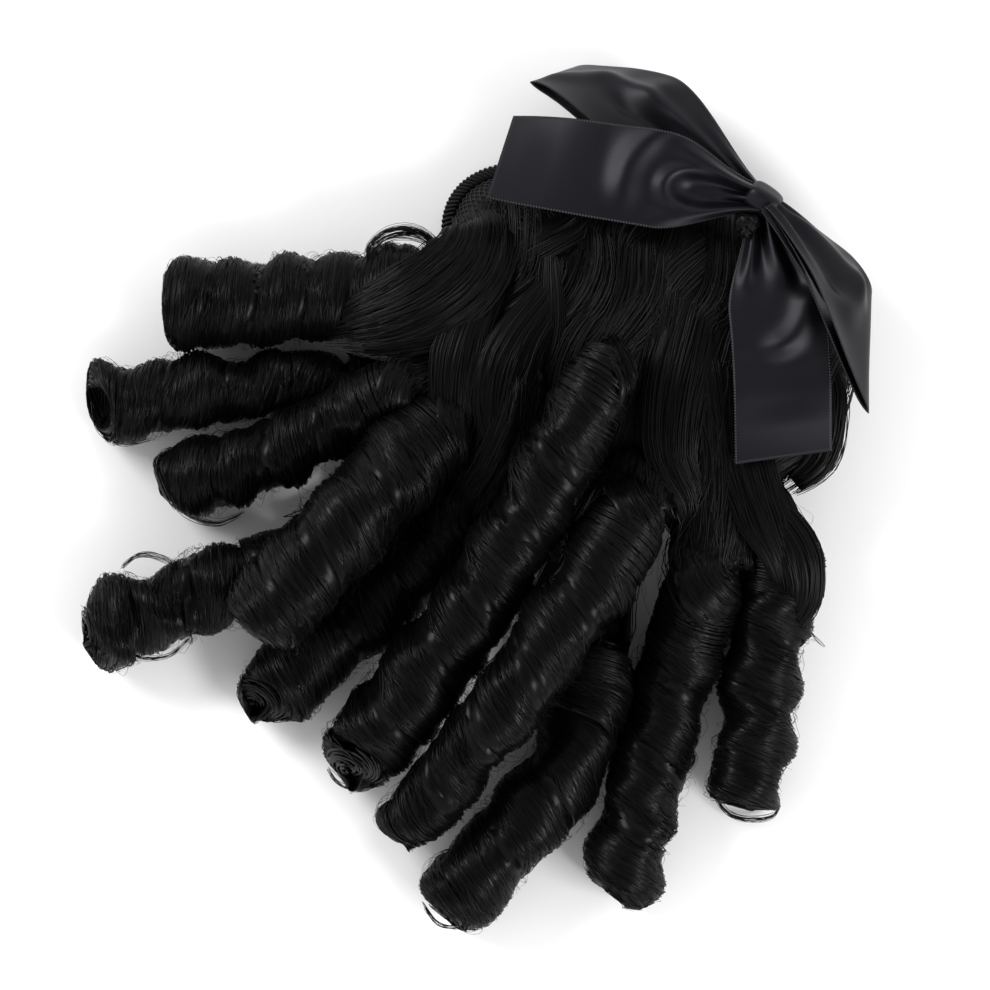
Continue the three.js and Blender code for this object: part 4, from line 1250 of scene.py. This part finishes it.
class PONYTAIL_OT_crown(bpy.types.Operator):
    """Lays the rows of hair over the cap, from under the bow to the ringlets"""
    bl_idname = "ponytail.crown"
    bl_label = "Crown hair"

    def execute(self, context):
        hair = context.scene.ponytail_hair
        rng = np.random.default_rng(SEED + 40)
        strand_width = 1000 * hair.strand_width
        parts = MeshParts()
        dome_shell(parts, CROWN, CROWN["skin"], CROWN["lining"], CROWN["base"])
        for weft in range(WEFT["rows"]):
            for k in range(WEFT["locks"]):
                share = (k + rng.uniform(*WEFT["place"])) / WEFT["locks"]
                add_crown_lock(parts, rng, weft, mix(-WEFT["edge"], WEFT["edge"], share), strand_width)
        for row in LOCKS:
            add_lock(parts, row, rng, strand_width)
        add_curtain(parts, rng, strand_width)
        settle(parts.make("crown_strands", hair_material(hair)), "hair", "crown_hair")
        return {"FINISHED"}


# The cap and its band

class PONYTAIL_OT_cap(bpy.types.Operator):
    """Makes the net cap under the hair"""
    bl_idname = "ponytail.cap"
    bl_label = "Cap"

    def execute(self, context):
        cap = context.scene.ponytail_cap
        parts = MeshParts()
        dome_shell(parts, CAP, 0, -CAP["wall"], 0.0)
        rng = np.random.default_rng(SEED + 50)
        t = np.linspace(0, 1, NET["points"])
        for lean in (-1, 1):
            for k in range(NET["lines"]):
                turn = (2 * math.pi * k / NET["lines"] + lean * NET["slant"] * t) % (2 * math.pi)
                path = dome_point(CAP, NET["proud"], turn, mix(NET["low"], NET["top"], t))
                parts.hair(path, np.full(len(t), 1000 * cap.yarn * NET["share"]), rng.uniform(*NET["tone"]))
        settle(parts.make("cap_net", knit_material(cap)), "net", "cap")
        return {"FINISHED"}


class PONYTAIL_OT_band(bpy.types.Operator):
    """Knits the band round the rim of the cap"""
    bl_idname = "ponytail.band"
    bl_label = "Knitted band"

    def execute(self, context):
        cap = context.scene.ponytail_cap
        rng = np.random.default_rng(SEED + 60)
        parts = MeshParts()
        turn = np.linspace(0, 2 * math.pi, BAND["sides"], endpoint=False)
        rows = []
        for corner in BAND_CORNERS:
            out = GAP + corner["out"] * (BAND["wide"] - BAND["skin"])
            points = dome_point(CAP, out, turn, np.zeros_like(turn))
            points[:, 2] = mix(BAND["low"], BAND["high"], corner["up"])
            rows.append(points)
        parts.grid(np.stack(rows + rows[:1]), BAND["tone"], wrap=True)
        yarn = 1000 * cap.yarn
        step = 2 * math.pi / cap.stitches
        tall = (BAND["high"] - BAND["low"] - yarn) / cap.rows
        t = np.linspace(0, 1, STITCH["points"])
        bulge = BAND["wide"] - STITCH["inset"] + STITCH["bulge"] * np.sin(math.pi * t)
        for row in range(cap.rows):
            for k in range(cap.stitches):
                for lean in (-1, 1):
                    path = rim_places(bulge, k * step + lean * step * (STITCH["from"] + STITCH["reach"] * t))
                    up = row + STITCH["low"] + STITCH["tall"] * t
                    path[:, 2] = BAND["low"] + 0.5 * yarn + up * tall
                    parts.hair(path, np.full(len(t), yarn * STITCH["thick"]), rng.random())
        t = np.linspace(0, 1, RIBS["points"])
        for k in range(cap.stitches):
            out = mix(RIBS["inner"], BAND["wide"] - RIBS["outer"], t)
            path = rim_places(out, (k + RIBS["slant"] * t) * step)
            path[:, 2] = BAND["high"] - RIBS["round"] * (2 * t - 1) ** 4
            parts.hair(path, np.full(len(t), RIBS["thick"]), rng.uniform(*RIBS["tone"]))
        settle(parts.make("band_stitches", knit_material(cap)), "net", "cap_band")
        return {"FINISHED"}


# The bow

def fold_height(name, u, v, length):
    """Height of all the folds of one ribbon at places along and across it."""
    total = np.zeros_like(u)
    for row in FOLDS:
        if row["of"] != name:
            continue
        t = (u - row["u"][0]) / (row["u"][1] - row["u"][0])
        fade = smooth(FOLD["rise_rate"] * t) * smooth(FOLD["fall_rate"] * (1 - t))
        middle = mix(row["v"][0], row["v"][1], np.clip(t, 0, 1))
        total += row["high"] * fade * np.exp(-((v - middle) / row["half"]) ** 2)
    for row in RINGS:
        if row["of"] != name:
            continue
        down, across = (u - row["u"]) * length, (v - row["v"]) * RIBBON_WIDTH * row["flat"]
        off = np.arctan2(across, down) - math.radians(row["faces"])
        off = np.abs((off + math.pi) % (2 * math.pi) - math.pi)
        spans = math.radians(row["spans"])
        fade = smooth((spans - off) / (FOLD["ring_fade"] * spans))
        from_crest = (np.hypot(down, across) - row["radius"]) / row["half"]
        total += row["high"] * fade * np.exp(-from_crest ** 2)
    return total


def pleat(spread, v, lean):
    """Height of the pleats across a ribbon, which die out as it spreads."""
    return PLEAT_DEPTH * (1 - spread) * np.cos(2 * math.pi * PLEATS * (v - 0.5) + lean)


def loop_surface(row, u, v):
    """Places on a loop of the bow: u goes out along its lower layer and back along its upper one."""
    start = np.array(row["from"], float)
    out = np.array(row["tip"], float) - start
    length = np.linalg.norm(out)
    out = out / length
    level = unit(np.cross(out, UP))
    rise = np.cross(level, out)
    turn = mix(LOOP["open"], 2 * math.pi - LOOP["open"], u)
    reach = length * (1 - np.cos(turn)) / 2
    share = reach / length
    rolling = smooth((share - LOOP["roll_from"]) / (1 - LOOP["roll_from"]))
    roll = np.radians(mix(*row["roll"], rolling))[..., None]
    wide = level * np.cos(roll) - rise * np.sin(roll)
    up = rise * np.cos(roll) + level * np.sin(roll)
    puff = -np.sin(turn)
    apart = LOOP["layer_gap"] * np.sign(puff) * smooth(2 * np.abs(puff))
    closed = mix(LOOP["shut"], 1, smooth(LOOP["shut_rate"] * np.abs(v - row["shut"])))
    lift = np.where(puff > 0, row["rise"], row["drop"]) * puff * closed + apart
    spread = smooth(share / LOOP["gather"])
    half = mix(row["pinch"], RIBBON_WIDTH / 2, spread)
    far = reach + row["skew"] * (2 * v - 1) * share ** 2
    raised = lift + LOOP["pleat"] * pleat(spread, v, 0) + fold_height(row["name"], u, v, 2 * length)
    return (start + out * far[..., None] + up * raised[..., None]
            + wide * ((2 * v - 1) * half)[..., None]
            + level * (row["bow"] * np.sin(math.pi * share))[..., None])


def tail_surface(row, u, v):
    """Places on a tail of the bow: u goes from the knot to the cut end."""
    flat_u = u.ravel()
    place = curve_at(row["places"], flat_u).reshape(u.shape + (3,))
    step = 1e-3
    after, before = (curve_at(row["places"], np.clip(flat_u + way * step, 0, 1)) for way in (1, -1))
    run = after - before
    tangent = unit(run).reshape(u.shape + (3,))
    level = unit(np.cross(tangent, UP))
    rise = np.cross(level, tangent)
    tilt = math.radians(row["tilt"]) * (u ** 3)[..., None]
    wide = level * np.cos(tilt) + rise * np.sin(tilt)
    up = rise * np.cos(tilt) - level * np.sin(tilt)
    spread = smooth(u / TAIL["gather"])
    half = mix(row["pinch"], RIBBON_WIDTH / 2, spread)
    folds = fold_height(row["name"], u, v, TAIL["length"]) * mix(TAIL["near"], 1, spread)
    raised = pleat(spread, v, TAIL["lean"]) + folds
    return (place + tangent * (row["end_skew"] * (2 * v - 1) * u)[..., None] + up * raised[..., None]
            + wide * ((2 * v - 1) * half)[..., None])


def surface_normals(points):
    """The way out of a grid of points at each of them."""
    du = np.gradient(points, axis=0)
    dv = np.gradient(points, axis=1)
    return unit(np.cross(du, dv))


def add_ribbon(parts, points, thick):
    """A thin closed ribbon either side of a grid of points."""
    normal = surface_normals(points)
    front = points + normal * thick / 2
    back = points - normal * thick / 2
    parts.grid(np.concatenate([front, back[:, ::-1]], axis=1), RIBBON_TONE, wrap=True, ends=True)


def add_selvage(parts, edge, normal, inward, tooth, rng):
    """The woven edge of a ribbon: a fine cord with one bead for each tooth."""
    measure = steps_along(edge)
    count = int(measure[-1] / tooth) * SELVAGE["per_tooth"]
    along = np.linspace(0, measure[-1], count)
    line, normals, inwards = (np.stack([np.interp(along, measure, part[:, k]) for k in range(3)], axis=1)
                              for part in (edge, normal, inward))
    beads = (SELVAGE["thick"] + SELVAGE["bead"] * np.cos(2 * math.pi * along / tooth))[:, None, None]
    turns = np.linspace(0, 2 * math.pi, SELVAGE["sides"], endpoint=False)[None, :, None]
    in_from_edge = SELVAGE["inset"] + SELVAGE["wide"] * beads * np.cos(turns)
    rows = line[:, None] + inwards[:, None] * in_from_edge + normals[:, None] * (beads * np.sin(turns))
    parts.grid(rows, rng.random(len(rows) * SELVAGE["sides"]), wrap=True)


class PONYTAIL_OT_ribbons(bpy.types.Operator):
    """Folds the two loops and the two tails of the bow, with their woven edges"""
    bl_idname = "ponytail.ribbons"
    bl_label = "Bow ribbons"

    def execute(self, context):
        bow = context.scene.ponytail_bow
        rng = np.random.default_rng(SEED + 80)
        thick = 1000 * bow.thickness
        tooth = 1000 * bow.tooth
        limbs = [(row, tail_surface, TAIL["rows"]) for row in TAILS]
        limbs += [(row, loop_surface, LOOP["rows"]) for row in LOOPS]
        for row, surface, along in limbs:
            u, v = np.meshgrid(np.linspace(0, 1, along), np.linspace(0, 1, RIBBON_COLUMNS), indexing="ij")
            points = surface(row, u, v)
            parts = MeshParts()
            add_ribbon(parts, points, thick)
            piece = settle(parts.make(row["name"] + "_satin", satin_material(bow)), "satin", row["name"])
            normal = surface_normals(points)
            edges = MeshParts()
            for column, step in ((0, 1), (-1, -1)):
                inward = unit(points[:, column + step] - points[:, column])
                add_selvage(edges, points[:, column], normal[:, column], inward, tooth, rng)
            trim = settle(edges.make(row["name"] + "_selvage", selvage_material(bow)), "satin")
        return {"FINISHED"}


def add_lump(parts, centre, sizes, axes, ripple, barrel, counts, value):
    """A closed rounded lump whose radius ripples; its poles lie on the last axis."""
    turn, rise = np.meshgrid(np.linspace(0, 2 * math.pi, counts[0], endpoint=False),
                             np.linspace(-0.5 * math.pi + 1e-3, 0.5 * math.pi - 1e-3, counts[1]))
    ring = (1 + ripple(turn, rise)) * np.cos(rise) ** barrel
    points = (np.array(centre, float) + axes[0] * (sizes[0] * ring * np.cos(turn))[..., None]
              + axes[1] * (sizes[1] * ring * np.sin(turn))[..., None]
              + axes[2] * (sizes[2] * np.sin(rise))[..., None])
    parts.grid(points, value, wrap=True)


class PONYTAIL_OT_knot(bpy.types.Operator):
    """Makes the knot of the bow and the gathered elastic beside it"""
    bl_idname = "ponytail.knot"
    bl_label = "Bow knot"

    def execute(self, context):
        bow = context.scene.ponytail_bow
        cap = context.scene.ponytail_cap
        rng = np.random.default_rng(SEED + 90)
        parts = MeshParts()

        def creases(turn, rise):
            crease = KNOT["crease"] / KNOT["along"]
            pleats = np.cos(KNOT["pleats"] * turn + KNOT["slant"] * rise)
            return crease * pleats - KNOT["waist"] * np.cos(rise) ** 2

        sizes = (KNOT["across"], KNOT["high"], KNOT["along"])
        add_lump(parts, KNOT["place"], sizes, (ACROSS, UP, ALONG), creases, KNOT["barrel"],
                 (KNOT["sides"], KNOT["levels"]), KNOT["tone"])
        settle(parts.make("knot_wrap", satin_material(bow)), "satin", "bow_knot")
        bits = MeshParts()
        radius = GATHER["radius"]
        for _ in range(GATHER["lumps"]):
            offset = rng.normal(0, GATHER["spread"], 3) * radius * np.array([1, 1, GATHER["flat"]])
            size = radius * rng.uniform(*GATHER["size"])
            waves = rng.integers(*GATHER["waves"])
            phase = rng.uniform(*GATHER["phase"])

            def puckers(turn, rise, waves=waves, phase=phase):
                return GATHER["pucker"] * np.cos(waves * turn + GATHER["slant"] * rise + phase)

            add_lump(bits, GATHER["place"] + offset, (size, size, size * GATHER["low"]), (ALONG, ACROSS, UP),
                     puckers, 1, (GATHER["sides"], GATHER["levels"]), rng.random())
        settle(bits.make("gather_elastic", elastic_material(cap)), "net", "bow_gather")
        return {"FINISHED"}


# Floor, lights and camera

class PONYTAIL_OT_stage(bpy.types.Operator):
    """Sets the floor, the soft lights and the camera over the hair"""
    bl_idname = "ponytail.stage"
    bl_label = "Stage"

    def execute(self, context):
        stage = context.scene.ponytail_stage
        scene = context.scene
        mesh = bpy.data.meshes.new("floor")
        corners = [(x * FLOOR_HALF, y * FLOOR_HALF, 0) for x, y in ((-1, -1), (1, -1), (1, 1), (-1, 1))]
        mesh.from_pydata(corners, [], [(0, 1, 2, 3)])
        floor = bpy.data.objects.new("floor", mesh)
        scene.collection.objects.link(floor)
        material, _, _, shader = new_material("pale_floor")
        shader.inputs["Base Color"].default_value = stage.floor
        shader.inputs["Roughness"].default_value = FLOOR_ROUGH
        mesh.materials.append(material)
        for row in LIGHTS:
            lamp = bpy.data.lights.new(row["name"], "AREA")
            lamp.shape = "RECTANGLE"
            lamp.size, lamp.size_y = row["size"]
            lamp.energy = row["power"] * stage.light
            light = bpy.data.objects.new(row["name"], lamp)
            turn, tilt = math.radians(row["turn"]), math.radians(row["tilt"])
            way = Vector((math.cos(turn) * math.sin(tilt), math.sin(turn) * math.sin(tilt), math.cos(tilt)))
            light.location = way * LIGHT_DISTANCE
            light.rotation_euler = way.to_track_quat("Z", "Y").to_euler()
            scene.collection.objects.link(light)
        world = bpy.data.worlds.new("soft_room")
        scene.world = world
        world.use_nodes = True
        nodes, links = world.node_tree.nodes, world.node_tree.links
        way = nodes.new("ShaderNodeTexCoord")
        split = nodes.new("ShaderNodeSeparateXYZ")
        ramp = nodes.new("ShaderNodeValToRGB")
        links.new(way.outputs["Generated"], split.inputs["Vector"])
        links.new(split.outputs["Z"], ramp.inputs["Fac"])
        while len(ramp.color_ramp.elements) < len(ROOM):
            ramp.color_ramp.elements.new(0.5)
        for stop, row in zip(ramp.color_ramp.elements, ROOM):
            stop.position = row["height"]
            stop.color = (row["bright"], row["bright"], row["bright"], 1)
        links.new(ramp.outputs["Color"], nodes["Background"].inputs["Color"])
        nodes["Background"].inputs["Strength"].default_value = ROOM_STRENGTH * stage.light
        camera = bpy.data.objects.new("camera", bpy.data.cameras.new("camera"))
        camera.data.sensor_width = SENSOR_WIDTH
        camera.data.lens = SENSOR_WIDTH * stage.distance / stage.width
        camera.data.clip_end = VIEW_END
        camera.location = (*VIEW_CENTRE, stage.distance + VIEW_HEIGHT)
        scene.collection.objects.link(camera)
        scene.camera = camera
        scene.view_settings.view_transform = "Standard"
        return {"FINISHED"}


class PONYTAIL_PT_panel(bpy.types.Panel):
    """Lists the pieces and their settings"""
    bl_label = "Ringlet ponytail"
    bl_idname = "PONYTAIL_PT_panel"
    bl_space_type = "VIEW_3D"
    bl_region_type = "UI"
    bl_category = "Ponytail"

    def draw(self, context):
        layout = self.layout
        for group in (context.scene.ponytail_hair, context.scene.ponytail_cap,
                      context.scene.ponytail_bow, context.scene.ponytail_stage):
            column = layout.column(align=True)
            for label in group.__annotations__:
                column.prop(group, label)
        for operator in OPERATORS:
            layout.operator(operator.bl_idname)


OPERATORS = (PONYTAIL_OT_stage, PONYTAIL_OT_cap, PONYTAIL_OT_band, PONYTAIL_OT_crown,
             PONYTAIL_OT_ringlets, PONYTAIL_OT_ribbons, PONYTAIL_OT_knot)
SETTINGS = (("ponytail_hair", HairSettings), ("ponytail_cap", CapSettings),
            ("ponytail_bow", BowSettings), ("ponytail_stage", StageSettings))


def register():
    """Adds the settings, the operators and the panel."""
    for label, group in SETTINGS:
        bpy.utils.register_class(group)
        setattr(bpy.types.Scene, label, bpy.props.PointerProperty(type=group))
    for operator in OPERATORS:
        bpy.utils.register_class(operator)
    bpy.utils.register_class(PONYTAIL_PT_panel)


def unregister():
    """Takes away the panel, the operators and the settings."""
    bpy.utils.unregister_class(PONYTAIL_PT_panel)
    for operator in reversed(OPERATORS):
        bpy.utils.unregister_class(operator)
    for label, group in reversed(SETTINGS):
        delattr(bpy.types.Scene, label)
        bpy.utils.unregister_class(group)


def main():
    """Builds the whole hairpiece."""
    register()
    bpy.ops.ponytail.stage()
    bpy.ops.ponytail.cap()
    bpy.ops.ponytail.band()
    bpy.ops.ponytail.crown()
    bpy.ops.ponytail.ringlets()
    bpy.ops.ponytail.ribbons()
    bpy.ops.ponytail.knot()


if __name__ == "__main__":
    main()
